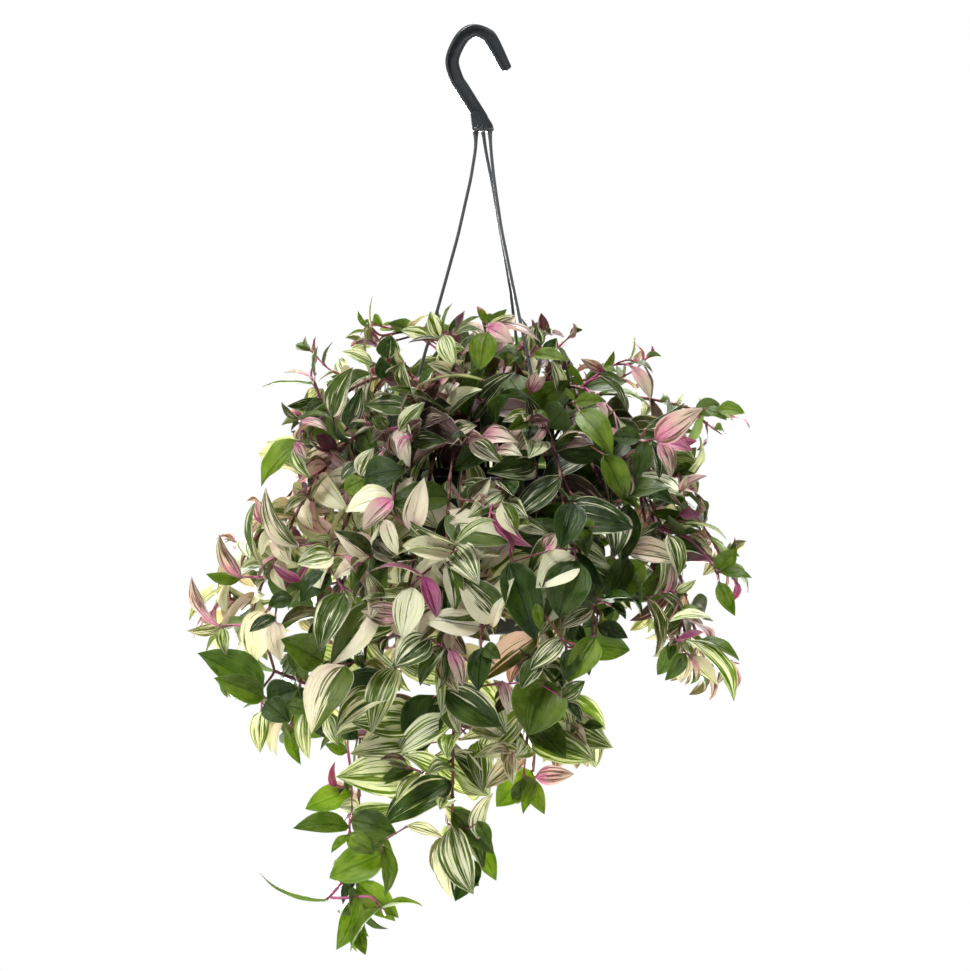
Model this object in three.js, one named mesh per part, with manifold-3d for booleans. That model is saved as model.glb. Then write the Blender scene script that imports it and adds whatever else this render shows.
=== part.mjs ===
// A trailing, cream-striped tradescantia in a hanging pot: a moulded hook with three strands clipped into
// the pot's rim, the pot, its potting soil, and one solid for each leafy stem, standing in a hole in the soil.
// Millimetres, +Z up, +X to the right, +Y away from the viewer. The origin is the crown inside the hook.
import * as THREE from "three";
import { mergeVertices } from "three/addons/utils/BufferGeometryUtils.js";
import Module from "manifold-3d";

const wasm = await Module();
wasm.setup();

// Pot: radii and heights, with heights measured down from the top of the rim.
const POT_AXIS_X = 13;
const RIM_Z = -346;
const RIM_RADIUS = 86;
const RIM_LIP_DEPTH = 9;
const RIM_INNER_RADIUS = 75.2;
const POT_HEIGHT = 125;
const POT_BASE_RADIUS = 58;
const POT_WALL = 1.8;
const POT_SEGMENTS = 28;
const DRAIN_COUNT = 6;
const DRAIN_RADIUS = 4.5;
const DRAIN_CIRCLE = 36;

// Rim holes for the three strands, at angles from +X towards +Y.
const CLIP_CIRCLE = 81;
const CLIP_HOLE_RADIUS = 2;
const CLIP_ANGLES = { left: 187, back: 67, front: 307 };

// Soil: a plug with a crowned top, and holes for the stems.
const SOIL_GAP = 0.35;
const SOIL_EDGE_DEPTH = 12;
const SOIL_CROWN_DEPTH = 5;
const SOIL_LUMP = 0.9;
const HOLE_RADIUS = 3.6;
const HOLE_SIDES = 4;
const HOLE_HEIGHT = 36;
const ROOT_DEPTH = 12;
const ROOT_GAP = 0.3;

// Hook: the points [x, z] that the middle of its H section runs smoothly through, from its tip to its foot.
const HOOK_LINE = [[24.3, -25.2], [13.5, -4.3], [8.2, 2], [-0.7, 5.2], [-9.2, 1.2], [-15.6, -8.4],
  [-18.9, -20.1], [-15.1, -33.5], [-9.8, -42], [4.8, -65.4]];
const HOOK_WIDTH = { tip: 8.6, crown: 10.9 };
const HOOK_TAPER = 24;
const HOOK_DEPTH = 8.4;
const HOOK_RAIL = 2.4;
const HOOK_WEB = 2.4;

// The foot that the shank widens into: its levels, each with its height, its middle, and its half width and depth.
const FOOT = [[-59, 0.95, 6.05, 4], [-64.5, 3.15, 7.55, 5], [-69.5, 5, 8.8, 6.2], [-72.5, 5.55, 9.05, 6.6],
  [-75, 5.3, 8.3, 6]];

// Strands: the left, back and front ones, as points from the foot down to above the foliage.
const STRAND_RADIUS = 1.3;
const STRAND_SIDES = 6;
const STRAND_ROOT = { long: 2.8, across: 1.9 };
const STRANDS = {
  left: [[-0.2, -1, -72], [0, -1.6, -87], [-4, -2.6, -112], [-14.4, -4.6, -158], [-28.2, -6.6, -208],
    [-43.2, -8.2, -260], [-61, -9.6, -322]],
  back: [[5.2, 4.2, -72], [8.2, 7.6, -92], [13.5, 14, -118], [19.2, 24, -151], [27.8, 39, -201],
    [35.2, 53.4, -262], [42.6, 70, -325]],
  front: [[10.8, -3, -72], [12.2, -6, -93], [14.2, -10, -112], [19.8, -19, -151], [28.4, -31, -194],
    [41.4, -46, -257], [57.2, -60.4, -325]],
};
const CLIP_SHOULDER = 2.7;
const CLIP_LENGTH = 6;

// Stems: four rings of them in the soil. A row is one stem: the bearing that it leaves on, how far its
// first handle rises, its elbow's radius and height, its tip's radius and height, the length of a grown
// leaf on it, and its colouring. Radii are from the pot's axis, and heights from the top of the rim.
const STEM_RINGS = [
  { radius: 61, first: 0, rows: [
    [352, 80, 138, 44, 177, -162, 50, "pink"],
    [24, 72, 118, 36, 146, -120, 52, "striped"],
    [44, 74, 116, 46, 140, -122, 52, "green"],
    [57, 72, 112, 40, 134, -98, 52, "striped"],
    [84, 78, 116, 56, 138, -156, 56, "striped"],
    [101, 72, 122, 40, 150, -130, 54, "green"],
    [122, 78, 114, 56, 134, -176, 56, "striped"],
    [140, 72, 122, 40, 152, -150, 54, "cream"],
    [160, 76, 116, 50, 142, -158, 56, "striped"],
    [179, 84, 150, 44, 212, -166, 66, "green"],
    [203, 80, 134, 40, 170, -204, 60, "cream"],
    [217, 96, 128, 84, 142, -356, 45, "green"],
    [234, 86, 128, 58, 148, -216, 62, "striped"],
    [260, 94, 128, 74, 148, -290, 60, "striped"],
    [276, 88, 122, 62, 144, -230, 60, "striped"],
    [294, 86, 122, 58, 148, -204, 56, "striped"],
    [318, 76, 112, 44, 122, -120, 46, "striped"],
    [337, 76, 124, 42, 166, -150, 52, "green"],
  ] },
  { radius: 44, first: 10, rows: [
    [7, 94, 148, 34, 202, -94, 43, "green"],
    [36, 98, 140, 50, 172, -64, 49, "striped"],
    [76, 98, 128, 58, 164, -52, 52, "cream"],
    [95, 98, 136, 54, 170, -104, 54, "striped"],
    [122, 98, 134, 56, 170, -54, 52, "green"],
    [148, 98, 140, 50, 174, -104, 54, "striped"],
    [180, 102, 148, 40, 226, -118, 50, "pink"],
    [199, 98, 138, 46, 188, -72, 47, "pink"],
    [234, 98, 122, 66, 162, -80, 52, "half"],
    [262, 102, 128, 66, 164, -116, 54, "cream"],
    [288, 102, 128, 64, 158, -104, 52, "green"],
    [319, 98, 122, 56, 150, -82, 52, "green"],
    [347, 98, 132, 50, 168, -22, 44, "pink"],
  ] },
  { radius: 28, first: 0, rows: [
    [2, 98, 118, 56, 192, 42, 48, "pink"],
    [30, 98, 96, 92, 132, 66, 38, "pink"],
    [84, 106, 108, 86, 148, 26, 48, "striped"],
    [120, 108, 108, 94, 148, 36, 45, "green"],
    [165, 110, 104, 94, 146, 62, 40, "striped"],
    [197, 106, 116, 84, 154, 34, 42, "green"],
    [232, 106, 108, 92, 146, 6, 42, "half"],
    [272, 106, 112, 84, 150, -66, 44, "striped"],
    [323, 106, 98, 84, 132, 12, 42, "green"],
  ] },
  { radius: 13, first: 20, rows: [
    [20, 98, 26, 106, 44, 112, 36, "striped"],
    [70, 98, 42, 104, 72, 104, 36, "green"],
    [118, 100, 38, 108, 62, 112, 36, "striped"],
    [166, 110, 62, 120, 104, 118, 34, "green"],
    [214, 102, 40, 108, 62, 112, 35, "striped"],
    [262, 102, 24, 110, 40, 122, 34, "pink"],
    [318, 100, 34, 106, 58, 112, 36, "cream"],
  ] },
];
const STEM_SIDES = 3;
const STEM_STEPS = 7;
const STEM_RADIUS = { root: 2.1, tip: 1.5 };
const STEM_TRIES = 40;
const STEM_CLEAR = 5;
const SAMPLE_STEP = 3;

// Leaves: alternate on both sides of a stem, closer together and smaller towards its tip.
const LEAF_FIRST = 5;
const LEAF_SPACING = 13.5;
const LEAF_SPREAD = 1.5;
const LEAF_BARE = 38;
const LEAF_GROWN = 3;
const LEAF_RIB = 2.2;
const LEAF_SEAT = 0.5;
const LEAF_TRIES = 24;
const LEAF_CLEAR = 0.45;
const LARGE_LEAF = 66;
const LARGE_STATIONS = [0.14, 0.42, 0.74];
const SMALL_STATIONS = [0.2, 0.6];
const BASE_CLEAR = 14;

const COLOURS = {
  pot: 0x15171a,
  soil: 0x2a1f18,
  hanger: 0x3a3e41,
  striped: 0x8fa35c,
  green: 0x3f6b26,
  cream: 0xd9d8a8,
  half: 0xa9b878,
  pink: 0xc98aa0,
};

const UP = new THREE.Vector3(0, 0, 1);
const radians = THREE.MathUtils.degToRad;

// A closed three.js geometry as a solid.
function solidOf(geometry) {
  const bare = geometry.clone();
  bare.deleteAttribute("normal");
  bare.deleteAttribute("uv");
  const merged = mergeVertices(bare, 1e-4);
  return new wasm.Manifold(new wasm.Mesh({
    numProp: 3,
    vertProperties: new Float32Array(merged.attributes.position.array),
    triVerts: new Uint32Array(merged.index.array),
  }));
}

function geometryOf(solid) {
  const mesh = solid.getMesh();
  const geometry = new THREE.BufferGeometry();
  geometry.setAttribute("position", new THREE.BufferAttribute(new Float32Array(mesh.vertProperties), 3));
  geometry.setIndex(new THREE.BufferAttribute(new Uint32Array(mesh.triVerts), 1));
  geometry.computeVertexNormals();
  return geometry;
}

function meshOf(name, solid, colour, roughness) {
  const material = new THREE.MeshStandardMaterial({ color: colour, roughness, metalness: 0 });
  const mesh = new THREE.Mesh(geometryOf(solid), material);
  mesh.name = name;
  return mesh;
}

function solidFromFaces(points, faces) {
  const geometry = new THREE.BufferGeometry().setFromPoints(points);
  geometry.setIndex(faces.flat());
  return solidOf(geometry);
}

// A section carried along a list of rings, each a list of points, with flat ends.
function lofted(rings, section) {
  const count = section.length;
  const faces = [];
  for (let k = 0; k + 1 < rings.length; k++) {
    for (let i = 0; i < count; i++) {
      const next = (i + 1) % count;
      const a = k * count;
      const b = a + count;
      faces.push([a + i, a + next, b + next], [a + i, b + next, b + i]);
    }
  }
  const last = (rings.length - 1) * count;
  for (const [i, j, k] of THREE.ShapeUtils.triangulateShape(section, [])) {
    faces.push([i, k, j], [last + i, last + j, last + k]);
  }
  return solidFromFaces(rings.flat(), faces);
}

function roundSection(sides) {
  return Array.from({ length: sides }, (_, i) => {
    const angle = (2 * Math.PI * i) / sides;
    return new THREE.Vector2(Math.cos(angle), Math.sin(angle));
  });
}

// One ring of a section about a point, with the section's two axes given as vectors.
function ringAt(centre, across, along, section) {
  return section.map((p) => centre.clone().addScaledVector(across, p.x).addScaledVector(along, p.y));
}

function polar(radius, degrees, height) {
  const angle = radians(degrees);
  return new THREE.Vector3(radius * Math.cos(angle), radius * Math.sin(angle), height);
}

// A post standing on the given point, for holes and places kept clear.
function post(radius, height, sides, foot) {
  const geometry = new THREE.CylinderGeometry(radius, radius, height, sides);
  geometry.rotateX(Math.PI / 2);
  geometry.translate(foot.x, foot.y, foot.z + height / 2);
  return solidOf(geometry);
}

// A ring profile of [radius, height] pairs turned about the Z axis.
function turned(profile) {
  const points = profile.map(([radius, height]) => new THREE.Vector2(radius, height));
  const geometry = new THREE.LatheGeometry(points, POT_SEGMENTS);
  geometry.rotateX(Math.PI / 2);
  return geometry;
}

// Inner radius of the pot's wall at a height below the rim.
function wallRadius(height) {
  const floorRadius = POT_BASE_RADIUS - POT_WALL;
  return RIM_INNER_RADIUS + ((floorRadius - RIM_INNER_RADIUS) * -height) / POT_HEIGHT;
}

function makePot() {
  const lipInner = RIM_RADIUS - POT_WALL;
  const floor = -POT_HEIGHT + POT_WALL;
  const neck = RIM_INNER_RADIUS + POT_WALL;
  const profile = [
    [0, -POT_HEIGHT], [POT_BASE_RADIUS, -POT_HEIGHT], [neck, -POT_WALL], [lipInner, -POT_WALL],
    [lipInner, -RIM_LIP_DEPTH], [RIM_RADIUS, -RIM_LIP_DEPTH], [RIM_RADIUS, -0.8], [RIM_RADIUS - 0.8, 0],
    [RIM_INNER_RADIUS, 0], [wallRadius(floor), floor], [0, floor],
  ];
  let pot = solidOf(turned(profile));
  for (let i = 0; i < DRAIN_COUNT; i++) {
    const foot = polar(DRAIN_CIRCLE, (360 * (i + 0.5)) / DRAIN_COUNT, -POT_HEIGHT - 1);
    pot = pot.subtract(post(DRAIN_RADIUS, POT_WALL + 2, 8, foot));
  }
  for (const angle of Object.values(CLIP_ANGLES)) {
    pot = pot.subtract(post(CLIP_HOLE_RADIUS, POT_WALL + 2, 8, polar(CLIP_CIRCLE, angle, -POT_WALL - 1)));
  }
  return pot;
}

// Height of the soil's top at a radius, without its lumps.
function soilHeight(radius) {
  const share = radius / RIM_INNER_RADIUS;
  return -SOIL_CROWN_DEPTH - (SOIL_EDGE_DEPTH - SOIL_CROWN_DEPTH) * share * share;
}

// The plug of soil, its top raised into lumps by a formula, with a hole for each stem.
function makeSoil(stems) {
  const floor = -POT_HEIGHT + POT_WALL + ROOT_GAP;
  const edge = wallRadius(-SOIL_EDGE_DEPTH) - SOIL_GAP;
  const profile = [
    [0, floor], [wallRadius(floor) - SOIL_GAP, floor], [edge, -SOIL_EDGE_DEPTH],
    [edge * 0.68, soilHeight(edge * 0.68)], [edge * 0.34, soilHeight(edge * 0.34)], [0, soilHeight(0)],
  ];
  const geometry = turned(profile);
  const position = geometry.attributes.position;
  for (let i = 0; i < position.count; i++) {
    const x = position.getX(i);
    const y = position.getY(i);
    const radius = Math.hypot(x, y);
    if (position.getZ(i) > floor + 1 && radius > 1 && radius < edge - 1) {
      const lump = Math.sin(x * 0.31 + 1.3) * Math.cos(y * 0.27 - 0.6);
      position.setZ(i, position.getZ(i) + SOIL_LUMP * lump);
    }
  }
  let soil = solidOf(geometry);
  for (const stem of stems) {
    const foot = stem.root.clone().setZ(stem.root.z - ROOT_GAP);
    soil = soil.subtract(post(HOLE_RADIUS, HOLE_HEIGHT, HOLE_SIDES, foot));
  }
  return soil;
}

// The hook's centreline from its tip to its foot, with the section's width at each point.
function hookPath() {
  const corners = HOOK_LINE.map(([x, z]) => new THREE.Vector3(x, 0, z));
  const curve = new THREE.CatmullRomCurve3(corners, false, "catmullrom");
  return curve.getPoints(2 * (corners.length - 1)).map((point) => {
    const widened = Math.min(1, point.distanceTo(corners[0]) / HOOK_TAPER);
    return [point, THREE.MathUtils.lerp(HOOK_WIDTH.tip, HOOK_WIDTH.crown, widened)];
  });
}

// An H: two rails along the hook's edges with a thin web between them.
function hookSection(width) {
  const edge = width / 2;
  const inner = edge - HOOK_RAIL;
  const face = HOOK_DEPTH / 2;
  const web = HOOK_WEB / 2;
  return [
    [edge, -face], [edge, face], [inner, face], [inner, web], [-inner, web], [-inner, face],
    [-edge, face], [-edge, -face], [-inner, -face], [-inner, -web], [inner, -web], [inner, -face],
  ].map(([u, v]) => new THREE.Vector2(u, v));
}

function makeHook() {
  const path = hookPath();
  const depthways = new THREE.Vector3(0, 1, 0);
  const rings = path.map(([point, width], i) => {
    const before = path[Math.max(0, i - 1)][0];
    const after = path[Math.min(path.length - 1, i + 1)][0];
    const across = depthways.clone().cross(after.clone().sub(before).normalize());
    return ringAt(point, across, depthways, hookSection(width));
  });
  return lofted(rings, hookSection(HOOK_WIDTH.crown));
}

// The foot that the shank and the strands' roots run into.
function makeFoot() {
  const section = roundSection(12).map((p) => new THREE.Vector2(
    Math.sign(p.x) * Math.abs(p.x) ** 0.45,
    Math.sign(p.y) * Math.abs(p.y) ** 0.45,
  ));
  const rings = FOOT.toReversed().map(([z, middle, halfWide, halfDeep]) => ringAt(
    new THREE.Vector3(middle, 0, z), new THREE.Vector3(halfWide, 0, 0), new THREE.Vector3(0, halfDeep, 0), section));
  return lofted(rings, section);
}

// The whole route of a strand: the listed points, then straight down through its hole in the rim.
function strandPoints(name) {
  const hole = polar(CLIP_CIRCLE, CLIP_ANGLES[name], 0);
  const above = STRANDS[name].map(([x, y, z]) => new THREE.Vector3(x, y, z));
  const x = POT_AXIS_X + hole.x;
  const under = RIM_Z - POT_WALL;
  const heights = [RIM_Z + 5, under - 0.3, under - 0.6, under - CLIP_LENGTH];
  return [...above, ...heights.map((z) => new THREE.Vector3(x, hole.y, z))];
}

// One strand: a flared root under the foot, the long round run, and a barbed clip below the rim.
function makeStrand(name) {
  const points = strandPoints(name);
  const section = roundSection(STRAND_SIDES);
  const outward = polar(1, CLIP_ANGLES[name], 0);
  const last = points.length - 1;
  const radii = points.map((_, i) => [STRAND_RADIUS, STRAND_RADIUS]);
  radii[0] = [STRAND_ROOT.long, STRAND_ROOT.across];
  radii[last - 1] = [CLIP_SHOULDER, CLIP_SHOULDER];
  radii[last] = [0.8, 0.8];
  const rings = points.map((point, i) => {
    const before = points[Math.max(0, i - 1)];
    const after = points[Math.min(last, i + 1)];
    const run = after.clone().sub(before).normalize();
    const across = outward.clone().addScaledVector(run, -outward.dot(run)).normalize();
    const along = run.clone().cross(across);
    return ringAt(point, across.multiplyScalar(radii[i][0]), along.multiplyScalar(radii[i][1]), section);
  });
  return lofted(rings, section);
}

function makeHanger() {
  let hanger = makeHook().add(makeFoot());
  for (const name of Object.keys(STRANDS)) hanger = hanger.add(makeStrand(name));
  return hanger;
}

// Seeded draws from 0 to 1, the same on every run.
function drawsFrom(seed) {
  const modulus = 2147483647;
  let state = seed % modulus;
  const draw = () => {
    state = (state * 48271) % modulus;
    return state / modulus;
  };
  draw();
  draw();
  return draw;
}

// Each stem's row, with the place of its root in the soil.
function stemRows() {
  const rows = [];
  for (const ring of STEM_RINGS) {
    ring.rows.forEach((row, slot) => {
      const bearing = ring.first + (360 * slot) / ring.rows.length;
      const soil = polar(ring.radius, bearing, soilHeight(ring.radius));
      rows.push({ index: rows.length, bearing, soil, row });
    });
  }
  return rows;
}

// A stem's curve for one try: straight up out of the soil, over an elbow and on to the tip.
function stemCurve({ index, soil, row }, attempt) {
  const [bearing, rise, elbowRadius, elbowHeight, tipRadius, tipHeight] = row;
  const draw = drawsFrom(7001 + index * 613 + attempt * 17);
  const looser = 1 + attempt * 0.04;
  const turn = (draw() - 0.5) * 8 * looser;
  const twist = (draw() - 0.5) * 44 * looser;
  const lift = (draw() - 0.5) * 18 * looser;
  const reach = (draw() - 0.5) * 14 * looser;
  const handle = soil.clone().setZ(soil.z + rise + lift);
  const elbow = polar(elbowRadius + reach, bearing + twist, elbowHeight + lift);
  const tip = polar(tipRadius + reach * 0.4, bearing + turn, tipHeight);
  return new THREE.CubicBezierCurve3(soil, handle, elbow, tip);
}

function stemRadius(share) {
  return THREE.MathUtils.lerp(STEM_RADIUS.root, STEM_RADIUS.tip, share);
}

// Points no further apart than a step along a line through the given points.
function samplesOf(points) {
  return points.slice(1).flatMap((p, i) => {
    const steps = Math.ceil(p.distanceTo(points[i]) / SAMPLE_STEP);
    return Array.from({ length: steps + 1 }, (_, k) => points[i].clone().lerp(p, k / steps));
  });
}

// The seat on a stem's centreline at a distance back from its tip, and the way the stem runs there.
function placeOn(stem, back) {
  let left = back;
  for (let k = STEM_STEPS; k > 0; k--) {
    const span = stem.points[k].distanceTo(stem.points[k - 1]);
    if (left <= span || k === 1) {
      const share = Math.min(1, left / span);
      const seat = stem.points[k].clone().lerp(stem.points[k - 1], share);
      return { seat, run: stem.curve.getTangent((k - share) / STEM_STEPS) };
    }
    left -= span;
  }
}

function lengthOf(points) {
  return points.slice(1).reduce((sum, p, i) => sum + p.distanceTo(points[i]), 0);
}

// The solid of a stem: its buried root and the curve, with three sides.
function stemSolid(stem) {
  const section = roundSection(STEM_SIDES);
  const sideways = new THREE.Vector3(-Math.sin(radians(stem.bearing)), Math.cos(radians(stem.bearing)), 0);
  const rings = [ringAt(stem.root, sideways.clone().multiplyScalar(STEM_RADIUS.root),
    UP.clone().cross(sideways).multiplyScalar(STEM_RADIUS.root), section)];
  for (let k = 0; k <= STEM_STEPS; k++) {
    const share = k / STEM_STEPS;
    const run = stem.curve.getTangent(share);
    const across = sideways.clone().addScaledVector(run, -sideways.dot(run)).normalize();
    const along = run.clone().cross(across);
    const radius = stemRadius(share);
    rings.push(ringAt(stem.points[k], across.multiplyScalar(radius), along.multiplyScalar(radius), section));
  }
  return lofted(rings, section);
}

// Whether a curve keeps clear of the curves and points already taken.
function clearOf(points, taken) {
  return points.every((p) => taken.every((q) => p.distanceToSquared(q) > STEM_CLEAR * STEM_CLEAR));
}

// Whether a curve passes over the rim and outside the wall.
function clearOfPot(points) {
  return points.every((p) => {
    const radius = Math.hypot(p.x, p.y);
    const overRim = p.z > 5 || radius < RIM_INNER_RADIUS - 5;
    const outside = radius > RIM_RADIUS + 4;
    const inside = radius < RIM_INNER_RADIUS - 5 && p.z > -SOIL_EDGE_DEPTH;
    return outside || inside || overRim;
  });
}

// Points of the strands, close together, in the pot's own frame.
function strandSamples() {
  const shift = new THREE.Vector3(-POT_AXIS_X, 0, -RIM_Z);
  return Object.keys(STRANDS).flatMap((name) => samplesOf(strandPoints(name).map((p) => p.add(shift))));
}

// Each stem takes the first of its tries that keeps clear of the pot, the strands and the stems before it.
function growStems() {
  const taken = strandSamples();
  return stemRows().map((stem) => {
    const root = stem.soil.clone().setZ(stem.soil.z - ROOT_DEPTH);
    for (let attempt = 0; attempt < STEM_TRIES; attempt++) {
      const curve = stemCurve(stem, attempt);
      const points = curve.getPoints(STEM_STEPS);
      const samples = samplesOf(points);
      if (clearOfPot(samples) && clearOf(samples, taken)) {
        taken.push(...samples);
        return { ...stem, root, curve, points, length: lengthOf(points) };
      }
    }
    throw new Error(`stem ${stem.index} has no clear way`);
  });
}

// The blade's half width as a share of its greatest, from its seat to its tip.
function outline(share) {
  return Math.sin(Math.PI * share ** 0.75) ** 0.85;
}

// Distance back from the stem's tip of leaf number j.
function leafPlace(j) {
  return LEAF_FIRST + LEAF_SPACING * j + LEAF_SPREAD * j * j;
}

// A leaf's frame and sizes for one try: which way it points and faces, how long it is, how it bends.
function leafTry(stem, j, attempt) {
  const draw = drawsFrom(50021 + stem.index * 7919 + j * 211 + attempt * 31);
  const [bearing, , , , , , grownLength] = stem.row;
  const { seat, run } = placeOn(stem, leafPlace(j));
  const outward = new THREE.Vector3(seat.x, seat.y, 0).normalize();
  const sideways = polar(1, bearing + 90, 0);
  const young = Math.max(0, 1 - j / LEAF_GROWN);
  const looser = 1 + 0.1 * attempt;
  const rankTurn = radians((draw() - 0.5) * 60);
  const spread = radians(64 - 30 * young + (draw() - 0.5) * 30);
  const pitch = radians(6 + (draw() - 0.5) * 44 * looser);
  const roll = radians((draw() - 0.5) * 56 * looser);
  const size = grownLength * (1 - 0.5 * young) * (0.88 + 0.24 * draw());
  const width = size * (0.41 + 0.13 * draw());
  const bend = radians(26 + 44 * draw());
  const fold = radians(9 + 19 * draw());
  const rank = sideways.addScaledVector(run, -sideways.dot(run)).normalize();
  rank.applyAxisAngle(run, rankTurn).multiplyScalar(j % 2 === 0 ? 1 : -1);
  const ahead = run.clone().multiplyScalar(Math.cos(spread)).addScaledVector(rank, Math.sin(spread));
  const face = outward.multiplyScalar(0.75).addScaledVector(UP, 0.65).addScaledVector(run, 0.2);
  face.addScaledVector(ahead, -face.dot(ahead)).normalize();
  const lean = ahead.clone().cross(face);
  ahead.applyAxisAngle(lean, pitch);
  face.applyAxisAngle(lean, pitch).applyAxisAngle(ahead, roll);
  return { seat, ahead, face, size, width, bend, fold };
}

// The blade's seat inside the stem, its rings of left, top, right and bottom points, and its tip.
function bladeRings(leaf, extra) {
  const { seat, ahead, face, size, width, bend, fold } = leaf;
  const right = ahead.clone().cross(face);
  const stations = size > LARGE_LEAF ? LARGE_STATIONS : SMALL_STATIONS;
  const at = (share) => {
    const turn = bend * share;
    const reach = (size / bend) * Math.sin(turn);
    const drop = (size / bend) * (1 - Math.cos(turn));
    const centre = seat.clone().addScaledVector(ahead, reach).addScaledVector(face, -drop);
    const normal = face.clone().multiplyScalar(Math.cos(turn)).addScaledVector(ahead, Math.sin(turn));
    return { centre, normal };
  };
  const ring = (share, half, thick) => {
    const { centre, normal } = at(share);
    const raised = normal.clone().multiplyScalar(half * Math.tan(fold));
    const left = centre.clone().addScaledVector(right, -half).add(raised);
    const rightEdge = centre.clone().addScaledVector(right, half).add(raised);
    const top = centre.clone().addScaledVector(normal, thick / 2);
    const bottom = centre.clone().addScaledVector(normal, -thick / 2);
    return [left, top, rightEdge, bottom];
  };
  const rings = stations.map((share) => ring(
    share, (outline(share) * width) / 2 + extra, LEAF_RIB * (1 - 0.6 * share) + 2 * extra));
  return { base: seat.clone().addScaledVector(ahead, -LEAF_SEAT), rings, tip: at(1 + extra / size).centre };
}

// A blade, with its upper and lower faces split into triangles alike.
function bladeSolid(leaf, extra = 0) {
  const { base, rings, tip } = bladeRings(leaf, extra);
  const [left, top, right, bottom] = [1, 2, 3, 4];
  const faces = [[0, top, left], [0, right, top], [0, bottom, right], [0, left, bottom]];
  for (let k = 0; k + 1 < rings.length; k++) {
    const a = 4 * k;
    const b = a + 4;
    for (const [edge, rib, flip] of [[left, top, 0], [right, top, 1], [right, bottom, 0], [left, bottom, 1]]) {
      const pair = [[a + edge, a + rib, b + rib], [a + edge, b + rib, b + edge]];
      faces.push(...pair.map(([i, j, m]) => (flip ? [i, m, j] : [i, j, m])));
    }
  }
  const last = left + 4 * (rings.length - 1);
  for (let i = 0; i < 4; i++) faces.push([last + i, last + ((i + 1) % 4), last + 4]);
  return solidFromFaces([base, ...rings.flat(), tip], faces);
}

function boxesMeet(a, b) {
  return [0, 1, 2].every((i) => a.min[i] <= b.max[i] && b.min[i] <= a.max[i]);
}

function meets(solid, obstacles) {
  const box = solid.boundingBox();
  return obstacles.some((other) => boxesMeet(box, other.box) && solid.intersect(other.solid).volume() > 0);
}

function obstacle(solid, owner) {
  return { solid, owner, box: solid.boundingBox() };
}

// Every leaf takes the first of its tries that crosses nothing, and is left out if all its tries do.
function growLeaves(stems, fixed) {
  const obstacles = fixed.map((solid) => obstacle(solid, -1));
  for (const stem of stems) obstacles.push(obstacle(stem.solid, stem.index));
  const leaves = stems.map(() => []);
  const most = Math.max(...stems.map((stem) => stem.length));
  for (let j = 0; leafPlace(j) < most; j++) {
    for (const stem of stems) {
      if (leafPlace(j) > stem.length - LEAF_BARE) continue;
      const others = obstacles.filter((o) => o.solid !== stem.solid);
      for (let attempt = 0; attempt < LEAF_TRIES; attempt++) {
        const leaf = leafTry(stem, j, attempt);
        if (meets(bladeSolid(leaf, LEAF_CLEAR), others)) continue;
        const blade = bladeSolid(leaf);
        leaves[stem.index].push(blade);
        obstacles.push(obstacle(blade, stem.index));
        break;
      }
    }
  }
  return leaves;
}

function makePlant() {
  const root = new THREE.Group();
  const planted = new THREE.Group();
  planted.position.set(POT_AXIS_X, 0, RIM_Z);
  root.add(planted);

  const stems = growStems();
  for (const stem of stems) stem.solid = stemSolid(stem);
  const pot = makePot();
  const soil = makeSoil(stems);
  const hanger = makeHanger();
  const underPot = post(POT_BASE_RADIUS + 4, BASE_CLEAR, 12, new THREE.Vector3(0, 0, -POT_HEIGHT - BASE_CLEAR));
  const leaves = growLeaves(stems, [pot, soil, underPot, hanger.translate([-POT_AXIS_X, 0, -RIM_Z])]);

  root.add(meshOf("hanger", hanger, COLOURS.hanger, 0.45));
  planted.add(meshOf("pot", pot, COLOURS.pot, 0.4));
  planted.add(meshOf("potting_soil", soil, COLOURS.soil, 0.95));
  for (const stem of stems) {
    const solid = leaves[stem.index].reduce((sum, blade) => sum.add(blade), stem.solid);
    const name = `leafy_stem_${String(stem.index + 1).padStart(2, "0")}`;
    planted.add(meshOf(name, solid, COLOURS[stem.row[7]], 0.5));
  }
  return root;
}

export default makePlant();
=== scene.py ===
# A trailing, cream-striped tradescantia in a hanging pot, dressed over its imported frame.
# Lengths are in millimetres here and become metres where meshes are made; the frame is +Z up, in metres.
import math
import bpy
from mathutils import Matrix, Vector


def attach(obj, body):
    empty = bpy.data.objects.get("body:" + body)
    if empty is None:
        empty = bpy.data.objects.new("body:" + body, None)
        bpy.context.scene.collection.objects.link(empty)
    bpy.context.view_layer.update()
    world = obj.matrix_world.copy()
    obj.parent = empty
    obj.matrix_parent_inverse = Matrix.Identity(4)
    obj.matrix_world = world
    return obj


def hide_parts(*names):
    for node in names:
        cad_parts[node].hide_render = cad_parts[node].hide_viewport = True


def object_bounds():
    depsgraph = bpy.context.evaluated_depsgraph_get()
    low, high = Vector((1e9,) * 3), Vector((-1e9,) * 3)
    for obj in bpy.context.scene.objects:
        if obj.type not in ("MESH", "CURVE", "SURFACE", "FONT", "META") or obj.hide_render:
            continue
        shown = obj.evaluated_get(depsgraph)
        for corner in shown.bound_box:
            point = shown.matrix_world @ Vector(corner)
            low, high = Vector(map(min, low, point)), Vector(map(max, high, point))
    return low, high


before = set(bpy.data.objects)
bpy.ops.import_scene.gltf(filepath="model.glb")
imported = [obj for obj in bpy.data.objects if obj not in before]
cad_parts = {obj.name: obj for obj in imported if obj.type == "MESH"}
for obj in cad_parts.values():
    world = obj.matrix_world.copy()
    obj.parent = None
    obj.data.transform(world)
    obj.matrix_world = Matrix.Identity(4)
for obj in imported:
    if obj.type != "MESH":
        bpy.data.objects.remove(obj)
from types import SimpleNamespace

import bpy
import numpy as np
from mathutils import Vector, noise
from mathutils.kdtree import KDTree

CAD_BOX = [list(corner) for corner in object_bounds()]
MM = 0.001
ACROSS, AWAY, UP = np.eye(3)

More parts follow.
